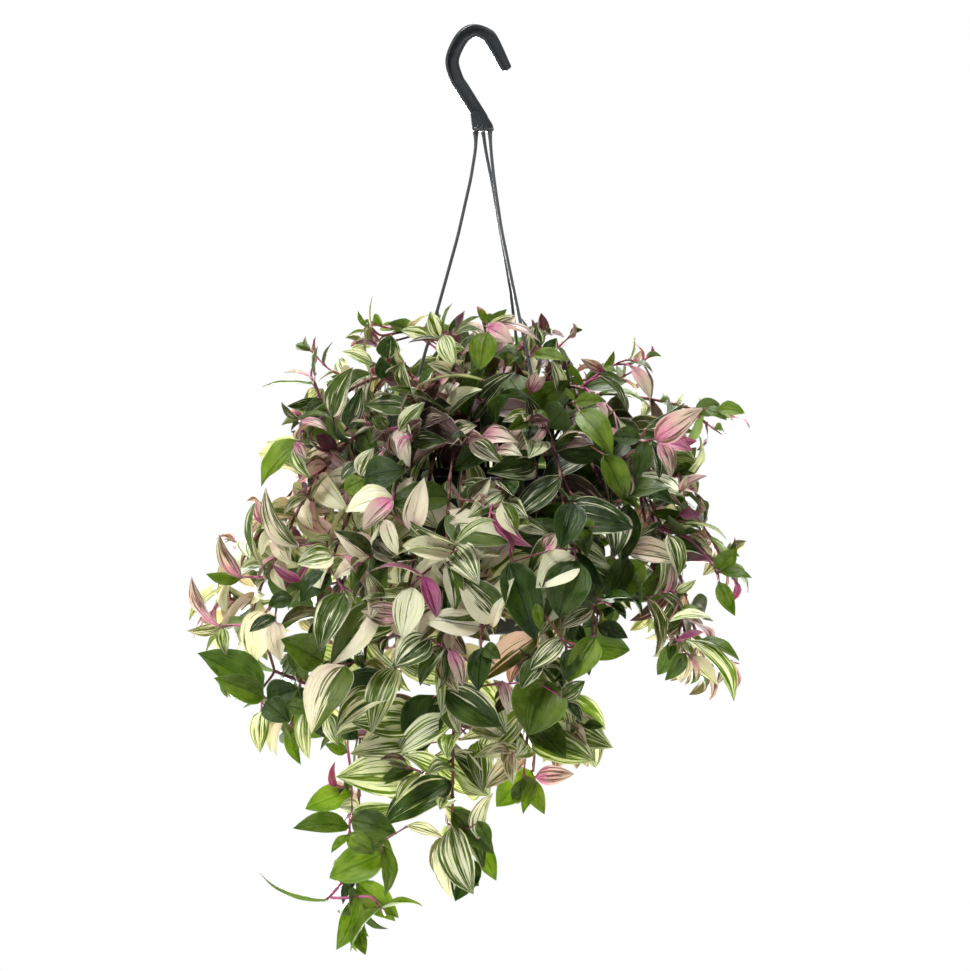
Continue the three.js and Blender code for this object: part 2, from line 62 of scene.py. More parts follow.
# Seeds of the random draws: the first one, and its steps from stem to stem, leaf to leaf and try to try.
DRAW_MODULUS = 2147483647
DRAW_FACTOR = 48271
STEM_SEED = (7001, 613, 17)
LEAF_SEED = (50021, 7919, 211, 31)
SEEN_SEED = (61001,)
GROWTH_SEED = (90001, 977)
PAINT_SEED = (120011, 331)

# View: the photograph's size, its scale and the pixel of the frame's origin.
IMAGE_WIDTH = 970
IMAGE_HEIGHT = 971
MM_PER_PIXEL = 0.8
ORIGIN_PIXEL = (476.0, 39.5)
CAMERA_DISTANCE = 2600.0
CAMERA_ELEVATION = 3.0
SENSOR_WIDTH = 36.0

# Studio: the white room dims overhead and underfoot, between two sines of height, and behind the viewer,
# between two places along the view. Each light has a place and a size in metres, and watts between them.
ROOM_BAND = (0.28, 0.6)
ROOM_DIM = 0.4
ROOM_FRONT = (0.45, -0.5)
ROOM_FRONT_DIM = 0.08
LIGHTS = (
    ("key", (-0.9, -1.2, 1.7), 61, 0.7),
    ("low", (-0.7, -1.8, -1.0), 9, 1.2),
    ("sheen", (-0.5, -0.9, 2.2), 10, 2.0),
    ("top", (0.2, 0.8, 1.5), 100, 1.4),
    ("back", (-0.4, 1.8, -0.9), 220, 1.6),
)
LIT_PLACE = (0.013, 0, -0.42)
FLOOR_HALF = 3500.0
FLOOR_Z = -1600.0

# Pot and soil.
POT_AXIS_X = 13.0
RIM_Z = -346.0
RIM_RADIUS = 86.0
RIM_LIP_DEPTH = 9.0
RIM_INNER_RADIUS = 75.2
POT_HEIGHT = 125.0
POT_BASE_RADIUS = 58.0
POT_WALL = 1.8
POT_AROUND = 128
DRAIN_COUNT = 6
DRAIN_RADIUS = 4.5
DRAIN_CIRCLE = 36.0
CLIP_CIRCLE = 81.0
CLIP_HOLE_RADIUS = 2.0
CLIP_ANGLES = {"left": 187.0, "back": 67.0, "front": 307.0}
SOIL_GAP = 0.35
SOIL_EDGE_DEPTH = 12.0
SOIL_CROWN_DEPTH = 5.0
SOIL_AROUND = 144
ROOT_DEPTH = 12.0
POT_SHIFT = np.array([POT_AXIS_X, 0.0, RIM_Z])

# The pot's profile. Its foot is radii against the base and heights over it; the ridge on its wall is
# heights and how far out they stand; its rim is named radii, what is added to them, and heights.
POT_FOOT = ((-6, 0.8), (-4.6, 0), (-1.2, 0), (-0.2, 0.8))
POT_RIDGE = ((-36, 0), (-35.4, 0.5), (-34, 0.5), (-33.4, 0), (-20, 0), (-4, 0))
POT_RIM = (
    ("neck", 0.6, -2.2), ("neck", 1.4, -POT_WALL), ("lip", -0.8, -POT_WALL), ("lip", -0.1, -2.4),
    ("lip", 0, -RIM_LIP_DEPTH + 0.3), ("lip", 0.3, -RIM_LIP_DEPTH), ("rim", -0.3, -RIM_LIP_DEPTH),
    ("rim", 0, -RIM_LIP_DEPTH + 0.3), ("rim", 0, -1.2), ("rim", -0.35, -0.4), ("rim", -1.1, 0),
    ("mouth", 1.2, 0), ("mouth", 0.4, -0.3), ("mouth", 0, -1.2),
)

# Crumbs of peat: how close together each layer of noise is, its place and its height.
PEAT_CRUMBS = ((0.11, 2.0, 1.6), (0.34, 7.0, 1.1), (0.9, 11.0, 0.5))
PEAT_CALM = 6.0

# Hook and strands. Each row of the tip's rounding is how far ahead it stands and its share of the section.
HOOK_LINE = ((24.3, -25.2), (13.5, -4.3), (8.2, 2), (-0.7, 5.2), (-9.2, 1.2), (-15.6, -8.4),
             (-18.9, -20.1), (-15.1, -33.5), (-9.8, -42), (4.8, -65.4))
HOOK_WIDTH = {"tip": 8.6, "crown": 10.9}
HOOK_TAPER = 24.0
HOOK_DEPTH = 8.4
HOOK_RAIL = 2.4
HOOK_BEVEL = 1.5
HOOK_WEB = 2.4
HOOK_TIP_ROUNDING = ((1.3, 0.35), (1.1, 0.62), (0.6, 0.88))
FOOT = ((-59, 0.95, 6.05, 4.0), (-64.5, 3.15, 7.55, 5.0), (-69.5, 5.0, 8.8, 6.2), (-72.5, 5.55, 9.05, 6.6),
        (-75, 5.3, 8.3, 6.0))
FOOT_AROUND = 48
FOOT_SQUARENESS = 0.45
FOOT_BEAD = 2.6
FOOT_INSET = 0.35
FOOT_STUDS = (1.8, 5.3, 8.7)
STUD_RADIUS = 0.8
STUD_OUT = 6.1
STRAND_RADIUS = 1.3
STRAND_ROOT = (2.8, 1.9)
STRAND_FLARE = 7.0
STRAND_AROUND = 14
STRANDS = {
    "left": [(-0.2, -1, -72), (0, -1.6, -87), (-4, -2.6, -112), (-14.4, -4.6, -158), (-28.2, -6.6, -208),
             (-43.2, -8.2, -260), (-61, -9.6, -322)],
    "back": [(5.2, 4.2, -72), (8.2, 7.6, -92), (13.5, 14, -118), (19.2, 24, -151), (27.8, 39, -201),
             (35.2, 53.4, -262), (42.6, 70, -325)],
    "front": [(10.8, -3, -72), (12.2, -6, -93), (14.2, -10, -112), (19.8, -19, -151), (28.4, -31, -194),
              (41.4, -46, -257), (57.2, -60.4, -325)],
}

# The clip under the rim and the collar over it: heights and radii.
CLIP_BARB = ((0.4, STRAND_RADIUS), (-0.35, STRAND_RADIUS), (-0.5, 2.5), (-1.2, 2.7), (-5, 1.2), (-6, 0.5))
CLIP_COLLAR = ((0.05, 2.3), (1.2, 2.3), (2.2, 1.7), (3.4, STRAND_RADIUS))

# Stems: four rings of them in the soil, each ring with its radius and first bearing. A row is one stem:
# the bearing that it leaves on, its first handle's rise, its elbow's radius and height, its tip's radius
# and height, the length of a grown leaf on it, and its colouring.
STEM_RINGS = [
    (61, 0, [
        (352, 80, 138, 44, 177, -162, 50, "pink"),
        (24, 72, 118, 36, 146, -120, 52, "striped"),
        (44, 74, 116, 46, 140, -122, 52, "green"),
        (57, 72, 112, 40, 134, -98, 52, "striped"),
        (84, 78, 116, 56, 138, -156, 56, "striped"),
        (101, 72, 122, 40, 150, -130, 54, "green"),
        (122, 78, 114, 56, 134, -176, 56, "striped"),
        (140, 72, 122, 40, 152, -150, 54, "cream"),
        (160, 76, 116, 50, 142, -158, 56, "striped"),
        (179, 84, 150, 44, 212, -166, 66, "green"),
        (203, 80, 134, 40, 170, -204, 60, "cream"),
        (217, 96, 128, 84, 142, -356, 45, "green"),
        (234, 86, 128, 58, 148, -216, 62, "striped"),
        (260, 94, 128, 74, 148, -290, 60, "striped"),
        (276, 88, 122, 62, 144, -230, 60, "striped"),
        (294, 86, 122, 58, 148, -204, 56, "striped"),
        (318, 76, 112, 44, 122, -120, 46, "striped"),
        (337, 76, 124, 42, 166, -150, 52, "green"),
    ]),
    (44, 10, [
        (7, 94, 148, 34, 202, -94, 43, "green"),
        (36, 98, 140, 50, 172, -64, 49, "striped"),
        (76, 98, 128, 58, 164, -52, 52, "cream"),
        (95, 98, 136, 54, 170, -104, 54, "striped"),
        (122, 98, 134, 56, 170, -54, 52, "green"),
        (148, 98, 140, 50, 174, -104, 54, "striped"),
        (180, 102, 148, 40, 226, -118, 50, "pink"),
        (199, 98, 138, 46, 188, -72, 47, "pink"),
        (234, 98, 122, 66, 162, -80, 52, "half"),
        (262, 102, 128, 66, 164, -116, 54, "cream"),
        (288, 102, 128, 64, 158, -104, 52, "green"),
        (319, 98, 122, 56, 150, -82, 52, "green"),
        (347, 98, 132, 50, 168, -22, 44, "pink"),
    ]),
    (28, 0, [
        (2, 98, 118, 56, 192, 42, 48, "pink"),
        (30, 98, 96, 92, 132, 66, 38, "pink"),
        (84, 106, 108, 86, 148, 26, 48, "striped"),
        (120, 108, 108, 94, 148, 36, 45, "green"),
        (165, 110, 104, 94, 146, 62, 40, "striped"),
        (197, 106, 116, 84, 154, 34, 42, "green"),
        (232, 106, 108, 92, 146, 6, 42, "half"),
        (272, 106, 112, 84, 150, -66, 44, "striped"),
        (323, 106, 98, 84, 132, 12, 42, "green"),
    ]),
    (13, 20, [
        (20, 98, 26, 106, 44, 112, 36, "striped"),
        (70, 98, 42, 104, 72, 104, 36, "green"),
        (118, 100, 38, 108, 62, 112, 36, "striped"),
        (166, 110, 62, 120, 104, 118, 34, "green"),
        (214, 102, 40, 108, 62, 112, 35, "striped"),
        (262, 102, 24, 110, 40, 122, 34, "pink"),
        (318, 100, 34, 106, 58, 112, 36, "cream"),
    ]),
]
STEM_SIDES = 3
STEM_STEPS = 7
STEM_TRIES = 40
STEM_RADIUS = {"root": 2.1, "tip": 1.5}

# Widths of the swings of a stem's tip, elbow, lift and reach, and how much each further try adds to them.
STEM_SWINGS = (8, 44, 18, 14)
STEM_LOOSER = 0.04

# Leaves that the solids hold: alternate on both sides of a stem, smaller towards its tip.
LEAF_FIRST = 5
LEAF_SPACING = 13.5
LEAF_SPREAD = 1.5
LEAF_BARE = 38
LEAF_GROWN = 3
LEAF_RIB = 2.2
LEAF_TRIES = 24
LARGE_LEAF = 66
LARGE_STATIONS = (0.14, 0.42, 0.74)
SMALL_STATIONS = (0.2, 0.6)
MATCH = 0.05

# How those leaves are drawn: the widths of four swings in degrees, and the least and the rest of ranges.
LEAF_SWINGS = {"rank": 60, "spread": 30, "pitch": 44, "roll": 56}
LEAF_RANGES = {"size": (0.88, 0.24), "width": (0.41, 0.13), "bend": (26, 44), "fold": (9, 19)}
LEAF_LOOSER = 0.1

# Fine stems and leaves. A thickness is a pair of radii, at the root and at the tip. Crowding is counted in
# cells of one size, and a try that reaches too far out is barred.
LINE_STEP = 3.0
STEM_THICK = (1.6, 0.8)
SHOOT_THICK = (0.95, 0.55)
TWIG_THICK = (1.4, 0.9)
TWIG_GROWN = 30
STEM_AROUND = 6
NODE_REACH = 1.8
NODE_SWELL = 0.22
BLADE_THICK = 0.5
BLADE_KEEL = 0.5
SHEATH_LENGTH = 7.0
SHEATH_AROUND = 6
SHEATH_SWELLS = (0.05, 0.35, 0.5, 0.85)
CROWD_CELL = 4.0
BARRED = 10.0

# Ranges of a fine leaf's turn round its stem and of its roll, in degrees, and of its width as a share of
# its length; how near the tip it is young, and how much pinker that makes it.
LEAF_TURNS = (-35, 35)
LEAF_ROLLS = (-30, 30)
LEAF_WIDTHS = (0.42, 0.56)
YOUNG_WITHIN = 40
YOUNG_PINK = 0.6

# A blade's rows and columns of points where it is longer than a size. Then ranges of its twist in degrees,
# of the depth of its edge's waves as a share of its width, of their number, and of the curl of its tip as
# a share of its length. Its base clasps the stem a little wider than the stem is, on its first stretch.
BLADE_STEPS = ((40, 12, 9), (22, 10, 7), (0, 8, 5))
BLADE_TWISTS = (-22, 22)
BLADE_RIPPLES = (0.01, 0.045)
BLADE_WAVES = (1.6, 2.8)
BLADE_CURLS = (-0.02, 0.07)
BLADE_CLASP = 1.15
CLASP_REACH = 0.14

# Leaves round a tip: how far back each is, its size, its spread and its fold. Then ranges of what the size
# is multiplied by, of what the spread gains, and of the bend and the pitch.
ROSETTE = ((0.5, 13, 10, 52), (3, 19, 24, 44), (9, 25, 42, 30))
ROSETTE_RANGES = {"scale": (0.85, 1.15), "spread": (-6, 6), "bend": (15, 40), "pitch": (-8, 8)}

# Leaves between those of the solids and leaves on shoots: ranges of size, as a share of a grown leaf, and
# of spread, fold, bend and pitch, in degrees. Then how many tries each has, and how crowded it may stand.
BETWEEN_LEAVES = ((0.55, 1.05), (40, 85), (8, 28), (20, 70), (-35, 35))
BETWEEN_TRIES = (10, 0.5)
SHOOT_LEAVES = ((0.45, 0.72), (40, 75), (8, 26), (20, 60), (-30, 30))
SHOOT_TRIES = (8, 0.6)
ROSETTE_TRIES = (4, 3)

# Side shoots: where they leave a stem, how far that may shift, how long they are, how they set off and
# curve, how far apart their leaves are, and the room that they need.
SHOOT_PLACES = (34, 74, 118, 166, 214)
SHOOT_SHIFTS = (-6, 6)
SHOOT_LENGTHS = (24, 50)
SHOOT_TURNS = (-70, 70)
SHOOT_AHEAD = (0.4, 1.0)
SHOOT_RISES = (0, 1.2)
SHOOT_OUT = (0, 0.6)
SHOOT_STEPS = (10, 14)
SHOOT_FIRST = 17
SHOOT_ROOM = 12.0
SHOOT_CROWDED = 1.2
SHOOT_START = 4

# How far the fine leaves may reach, in the frame's own millimetres: a little beyond the solids, and up to
# the top of the mound.
REACH_MORE = 8.0
MOUND_TOP = -212.0
REACH = np.array(CAD_BOX) / MM + np.array([[-REACH_MORE], [REACH_MORE]])
REACH[1][2] = MOUND_TOP

# Parts of the view that stay open between the leaves: a pixel, and half widths across and up.
CLEARINGS = (
    (625, 402, 22, 18), (700, 372, 48, 24), (622, 538, 16, 34), (722, 625, 22, 26), (620, 645, 24, 20),
    (615, 705, 36, 18), (548, 815, 32, 30), (450, 915, 40, 20), (415, 852, 12, 20), (262, 484, 24, 14),
    (224, 514, 28, 16), (718, 480, 20, 26), (722, 528, 16, 14), (700, 582, 18, 20), (455, 462, 38, 15),
    (432, 512, 22, 20), (540, 492, 16, 26), (420, 352, 18, 12), (590, 350, 24, 14), (606, 398, 12, 16),
    (752, 440, 24, 20), (738, 508, 24, 16), (757, 600, 16, 44), (700, 605, 12, 14), (757, 655, 18, 14),
    (198, 560, 14, 30), (200, 680, 20, 14), (240, 640, 16, 12), (296, 770, 34, 26), (320, 912, 16, 14),
    (392, 866, 12, 24), (428, 872, 12, 22), (476, 810, 20, 12), (600, 700, 16, 18), (580, 470, 18, 16),
    (520, 575, 10, 20),
)

# Twigs that the photograph shows: the pixels that each runs through, from its stem to its tip.
TWIGS = (
    ((335, 418), (318, 392), (310, 374), (317, 358)),
    ((345, 462), (318, 449), (303, 432), (298, 418)),
    ((398, 348), (380, 336), (371, 328)),
    ((580, 392), (597, 375), (615, 364), (633, 364)),
    ((605, 452), (628, 442), (656, 439)),
    ((690, 418), (718, 410)),
    ((632, 505), (646, 525), (670, 530), (690, 540), (706, 556), (717, 571), (719, 584)),
    ((640, 580), (655, 610), (670, 640), (686, 652)),
    ((335, 560), (300, 574), (270, 577), (240, 577)),
    ((300, 622), (258, 624), (221, 626)),
    ((300, 665), (275, 672), (261, 690), (262, 700)),
    ((345, 670), (346, 700), (345, 730), (350, 765), (352, 800), (349, 828), (356, 858)),
    ((356, 860), (340, 885), (328, 898), (345, 898), (372, 896), (380, 908)),
    ((430, 690), (455, 720), (453, 742), (425, 772), (410, 800)),
    ((500, 722), (535, 748), (533, 775)),
    ((455, 742), (452, 780), (447, 806), (470, 842)),
    ((500, 520), (470, 542), (440, 562), (416, 578)),
    ((590, 560), (594, 600), (592, 640)),
    ((500, 480), (492, 500), (488, 520)),
)

# Leaves that the photograph shows, from those behind to those in front: the pixels of each base and tip,
# the width in pixels, below zero where the leaf's back is seen, and the look.
SEEN_LEAVES = (
    (372, 330, 373, 296, 9, "pale"), (369, 327, 358, 311, 6, "fresh"), (367, 331, 345, 338, 7, "pale"),
    (378, 342, 351, 349, 15, "pale"), (372, 364, 341, 351, 14, "pale"), (388, 358, 391, 335, 24, "lined"),
    (386, 379, 380, 357, 17, "dark"), (428, 336, 401, 330, 14, "pale"), (440, 338, 430, 311, 17, "pale"),
    (443, 332, 452, 303, 8, "fresh"), (450, 333, 455, 318, 6, "lined"), (456, 333, 480, 316, 8, "green"),
    (440, 341, 408, 343, 8, "lined"), (456, 335, 483, 331, 9, "lined"), (444, 336, 455, 367, 20, "pale"),
    (488, 323, 477, 309, 8, "fresh"), (488, 322, 507, 309, 8, "green"), (490, 324, 516, 315, 7, "pale"),
    (489, 326, 541, 341, 11, "pink"), (488, 328, 513, 343, 18, "pink"), (488, 333, 480, 370, 27, "fresh"),
    (540, 346, 536, 325, 12, "lined"), (547, 356, 557, 338, 16, "lined"), (534, 355, 568, 361, 15, "fresh"),
    (480, 376, 493, 368, 10, "fresh"), (480, 376, 469, 370, 9, "fresh"),
    (560, 392, 551, 360, 14, "striped"), (530, 390, 537, 371, 12, "pink"), (533, 391, 546, 375, 10, "pink"),
    (482, 380, 421, 384, 10, "pale"), (445, 412, 384, 390, 17, "lined"), (500, 388, 526, 406, 11, "blush"),
    (530, 415, 502, 422, 14, "striped"), (534, 412, 549, 423, 11, "fresh"),
    (400, 430, 425, 402, 18, "striped"), (470, 440, 500, 462, 20, "striped"),
    (312, 386, 262, 385, 5, "green"), (312, 379, 284, 372, 5, "pink"), (315, 374, 318, 346, 9, "lined"),
    (318, 401, 287, 406, 8, "lined"), (323, 403, 305, 413, 13, "lined"), (299, 420, 281, 402, 7, "lined"),
    (300, 419, 331, 418, 10, "green"), (302, 421, 328, 430, 10, "pink"), (301, 442, 260, 486, 28, "fresh"),
    (293, 449, 311, 479, 14, "pale"), (296, 443, 306, 459, 12, "pink"), (333, 416, 352, 367, 27, "lined"),
    (347, 426, 362, 387, 16, "lined"), (386, 429, 372, 417, 15, "lined"), (330, 455, 350, 470, 12, "pink"),
    (360, 475, 374, 448, 18, "striped"), (345, 490, 366, 480, 22, "fresh"),
    (365, 478, 405, 470, 34, "dark"), (263, 566, 254, 500, 14, "striped"),
    (298, 546, 264, 488, 28, "striped"), (240, 577, 206, 574, 9, "green"),
    (240, 577, 218, 535, 20, "blush"), (221, 627, 187, 631, 8, "pale"), (223, 628, 226, 655, 14, "pale"),
    (221, 627, 191, 577, 17, "blush"), (268, 612, 254, 664, 36, "cream"), (275, 622, 281, 662, 24, "cream"),
    (330, 575, 300, 602, 28, "dark"), (292, 598, 268, 606, 18, "dark"), (275, 618, 249, 632, 14, "lined"),
    (333, 556, 297, 564, 26, "striped"), (300, 580, 272, 564, 12, "magenta"),
    (345, 556, 368, 592, 14, "pink"), (322, 661, 281, 639, 36, "green"), (345, 594, 319, 652, 32, "lined"),
    (376, 604, 330, 666, 34, "half"), (262, 712, 260, 753, 20, "pale"), (284, 718, 277, 757, 13, "cream"),
    (306, 710, 308, 759, 18, "pale"), (263, 692, 198, 652, 42, "green"), (263, 698, 214, 678, 27, "green"),
    (268, 700, 299, 688, 30, "dark"), (266, 702, 290, 722, 26, "dark"), (285, 706, 310, 712, 18, "green"),
    (345, 666, 312, 734, 44, "half"), (328, 716, 338, 746, 15, "pale"), (344, 728, 358, 739, 18, "dark"),
    (346, 752, 325, 744, 12, "green"), (348, 793, 305, 809, 26, "fresh"), (352, 815, 398, 806, 18, "pale"),
    (352, 820, 397, 834, 28, "green"), (348, 828, 293, 829, 22, "green"), (348, 836, 331, 853, 10, "fresh"),
    (347, 836, 374, 855, 19, "fresh"), (370, 850, 386, 840, 12, "green"), (384, 848, 385, 898, 14, "green"),
    (382, 857, 328, 881, 36, "fresh"), (326, 900, 258, 875, -5, "green"), (358, 900, 337, 951, 18, "fresh"),
    (380, 908, 351, 952, 14, "fresh"), (382, 908, 423, 905, 10, "fresh"), (410, 746, 350, 754, 32, "pale"),
    (416, 722, 351, 722, 42, "pale"), (478, 742, 483, 792, 26, "pale"), (521, 748, 459, 741, 18, "pale"),
    (415, 774, 336, 777, 46, "pale"), (436, 756, 489, 796, 38, "pale"), (437, 696, 417, 758, 46, "dark"),
    (447, 690, 501, 726, 36, "lined"), (411, 794, 443, 790, 28, "striped"),
    (408, 826, 443, 838, 14, "pale"), (503, 682, 509, 715, 13, "pink"), (482, 728, 501, 743, 12, "pink"),
    (560, 724, 613, 748, 28, "pale"), (531, 738, 594, 761, 42, "pale"), (548, 682, 529, 737, 54, "green"),
    (585, 726, 603, 727, 11, "green"), (532, 772, 496, 807, 32, "fresh"), (536, 784, 523, 814, 12, "fresh"),
    (536, 777, 574, 774, 19, "blush"), (563, 698, 585, 681, 17, "lined"), (569, 703, 582, 722, 12, "lined"),
    (448, 838, 450, 899, 28, "cream"), (470, 857, 455, 901, 30, "dark"), (480, 843, 496, 881, 19, "fresh"),
    (478, 838, 492, 792, 16, "pale"), (478, 822, 491, 845, 14, "green"),
    (446, 807, 484, 872, 25, "striped"), (602, 370, 581, 359, 9, "blush"), (604, 368, 614, 351, 8, "green"),
    (604, 368, 617, 372, 8, "fresh"), (628, 363, 653, 372, 9, "lined"), (600, 377, 626, 411, 11, "lined"),
    (632, 367, 650, 399, 16, "pink"), (630, 359, 634, 336, 4, "pale"), (635, 361, 641, 350, 7, "pink"),
    (596, 402, 607, 423, 10, "pink"), (576, 402, 545, 387, 11, "fresh"), (576, 402, 604, 400, 15, "fresh"),
    (618, 432, 600, 436, 10, "pink"), (636, 438, 618, 418, 17, "half"), (640, 438, 611, 437, 20, "dark"),
    (646, 429, 685, 403, 10, "lined"), (651, 441, 659, 479, 15, "lined"), (646, 442, 635, 479, 19, "dark"),
    (656, 439, 697, 441, 12, "magenta"), (661, 442, 693, 451, 15, "magenta"),
    (661, 442, 671, 478, 19, "blush"), (656, 439, 703, 408, 26, "blush"), (705, 409, 727, 420, 13, "green"),
    (718, 410, 745, 413, 17, "fresh"), (645, 484, 671, 502, 18, "dark"), (680, 492, 707, 476, 9, "blush"),
    (681, 490, 688, 475, 8, "pink"), (680, 514, 700, 516, 13, "magenta"), (580, 412, 613, 456, 28, "fresh"),
    (604, 455, 626, 502, 26, "fresh"), (628, 505, 620, 566, 28, "lined"), (686, 523, 728, 540, 9, "pale"),
    (655, 540, 655, 596, 13, "pale"), (668, 535, 679, 578, 21, "striped"),
    (718, 571, 737, 548, 21, "green"), (721, 572, 752, 577, 14, "green"), (719, 583, 735, 616, 14, "green"),
    (664, 597, 671, 562, 13, "blush"), (677, 591, 696, 580, 8, "pale"), (660, 594, 685, 621, 13, "lined"),
    (682, 608, 702, 613, 10, "fresh"), (670, 621, 711, 618, 11, "pale"), (646, 599, 657, 657, 17, "lined"),
    (672, 640, 669, 661, 10, "dark"), (680, 639, 704, 632, 9, "magenta"), (692, 657, 718, 685, 18, "cream"),
    (684, 655, 680, 683, 20, "cream"), (685, 654, 665, 681, 16, "green"), (692, 660, 696, 681, 9, "pink"),
    (700, 641, 739, 661, 15, "green"), (686, 641, 736, 701, 27, "pale"), (644, 563, 594, 611, 34, "fresh"),
    (598, 626, 628, 638, 19, "dark"), (596, 638, 568, 682, 27, "fresh"), (484, 648, 478, 692, 24, "dark"),
    (540, 660, 520, 690, 20, "lined"), (572, 650, 566, 680, 20, "dark"), (575, 558, 536, 588, 36, "cream"),
    (545, 548, 556, 533, 16, "pink"), (575, 504, 561, 549, 30, "dark"), (521, 488, 546, 499, 26, "striped"),
    (393, 498, 345, 512, 34, "cream"), (392, 500, 362, 530, 22, "pink"), (385, 520, 398, 556, 16, "cream"),
    (412, 532, 424, 478, 23, "cream"), (450, 554, 401, 546, 24, "cream"),
    (452, 552, 391, 559, 13, "striped"), (455, 546, 404, 519, 13, "striped"),
    (457, 546, 496, 519, 14, "striped"), (502, 503, 517, 536, 21, "half"),
    (489, 519, 515, 556, 9, "magenta"), (494, 514, 532, 548, 14, "magenta"),
    (430, 640, 394, 667, 32, "striped"), (445, 648, 419, 687, 15, "lined"),
    (450, 650, 463, 687, 14, "blush"), (445, 650, 439, 692, 12, "lined"), (480, 645, 501, 659, 16, "green"),
    (400, 597, 361, 600, 13, "striped"), (400, 616, 361, 611, 24, "blush"),
    (413, 588, 402, 640, 30, "cream"), (447, 564, 455, 613, 17, "half"),
    (422, 577, 437, 619, 17, "magenta"), (418, 576, 375, 569, 9, "magenta"),
    (480, 616, 438, 617, 11, "lined"), (480, 628, 421, 621, 27, "cream"), (497, 621, 458, 578, 36, "half"),
    (492, 629, 515, 579, 17, "cream"), (592, 610, 560, 628, 16, "striped"),
    (562, 640, 529, 671, 19, "striped"), (510, 564, 536, 643, 38, "dark"), (577, 562, 559, 619, 44, "dark"),
    (537, 604, 541, 631, 11, "fresh"),
)

# How deep those leaves stand, in front of their stem or of the blades near them, and inside the reach. Then
# how far a twig leans ahead from pixel to pixel, and how far a leaf does, as a share of its length.
SEEN_LEAST = 2.0
SEEN_MOST = 44.0
SEEN_OVER = 1.5
SEEN_INSIDE = 6.0
SEEN_LEAN = 4.0
SEEN_TILT = (0.05, 0.45)

# Their width as a share of their length, how far they turn aside, how far round a pixel they look, how near
# a stem joins them, ranges of their bend, fold and roll in degrees, and how often the upper face is seen.
# Then how a stalk leaves its stem, and how nearest stems are told: those in front first, none in the soil.
SEEN_WIDTH = 0.44
SEEN_TURN = 55.0
SEEN_RADIUS = 12.0
SEEN_JOINED = 5.0
SEEN_BENDS = (25, 60)
SEEN_FOLDS = (10, 28)
SEEN_ROLLS = (-12, 12)
SEEN_UPPER = 0.75
STALK_RISE = 0.8
STALK_AHEAD = 0.35
FRONT_FIRST = 0.15
BURIED = 1000.0


def unit(v):
    return v / np.linalg.norm(v)


def polar(radius, degrees, height=0.0):
    angle = math.radians(degrees)
    return np.array([radius * math.cos(angle), radius * math.sin(angle), height])


def turned(v, axis, angle):
    """A vector turned about a unit axis."""
    cos = math.cos(angle)
    return v * cos + np.cross(axis, v) * math.sin(angle) + axis * (np.dot(axis, v) * (1 - cos))


def square_to(v, axis):
    """The unit vector along v once its part along a unit axis is taken away."""
    return unit(v - axis * np.dot(v, axis))


def outward_at(place):
    """The level way from the pot's axis to a place."""
    return unit(np.array([place[0], place[1], 0.0]))


def draws_from(seed, *numbers):
    """Seeded draws from 0 to 1, the same on every run."""
    state = (seed[0] + sum(step * number for step, number in zip(seed[1:], numbers))) % DRAW_MODULUS

    def draw():
        nonlocal state
        state = (state * DRAW_FACTOR) % DRAW_MODULUS
        return state / DRAW_MODULUS

    draw()
    draw()
    return draw


def between(draw, low, high):
    return low + (high - low) * draw()


def swing(draw, width):
    return (draw() - 0.5) * width


def view_axes():
    """The camera's place, and its axes across, up and into the view."""
    angle = math.radians(CAMERA_ELEVATION)
    sin, cos = math.sin(angle), math.cos(angle)
    centre = np.array([IMAGE_WIDTH / 2 - ORIGIN_PIXEL[0], 0.0, ORIGIN_PIXEL[1] - IMAGE_HEIGHT / 2])
    into = np.array([0.0, cos, -sin])
    return centre * MM_PER_PIXEL - into * CAMERA_DISTANCE, ACROSS, np.array([0.0, sin, cos]), into


def seen_at(points):
    """The pixels that places in the frame are seen at, across and down."""
    eye, across, up, into = view_axes()
    rays = points - eye
    depth = rays @ into * MM_PER_PIXEL / CAMERA_DISTANCE
    return IMAGE_WIDTH / 2 + rays @ across / depth, IMAGE_HEIGHT / 2 - rays @ up / depth


def place_seen_at(x, y, depth):
    """The place in the pot's frame that is seen at a pixel, on the upright plane at a depth."""
    eye, across, up, into = view_axes()
    scale = MM_PER_PIXEL / CAMERA_DISTANCE
    ray = into + across * (x - IMAGE_WIDTH / 2) * scale - up * (y - IMAGE_HEIGHT / 2) * scale
    return eye + ray * (depth - eye[1]) / ray[1] - POT_SHIFT


# Growth: the stems and leaves of the solids, found again from the rules that they were grown by.

def soil_height(radius):
    share = radius / RIM_INNER_RADIUS
    return -SOIL_CROWN_DEPTH - (SOIL_EDGE_DEPTH - SOIL_CROWN_DEPTH) * share * share


def stem_rows():
    """Each stem's row, with the place of its root in the soil."""
    stems = []
    for radius, first, table in STEM_RINGS:
        for slot, row in enumerate(table):
            slot_bearing = first + 360 * slot / len(table)
            soil = polar(radius, slot_bearing, soil_height(radius))
            number = len(stems)
            stems.append(SimpleNamespace(index=number, name=f"leafy_stem_{number + 1:02d}", soil=soil,
                                         slot_bearing=slot_bearing, row=row, grown=row[6], kind=row[7]))
    return stems


def on_curve(controls, share):
    a, b, c, d = controls
    rest = 1 - share
    return a * rest ** 3 + b * (3 * rest * rest * share) + c * (3 * rest * share * share) + d * share ** 3


def heading(controls, share, near=0.0001):
    return unit(on_curve(controls, min(1, share + near)) - on_curve(controls, max(0, share - near)))


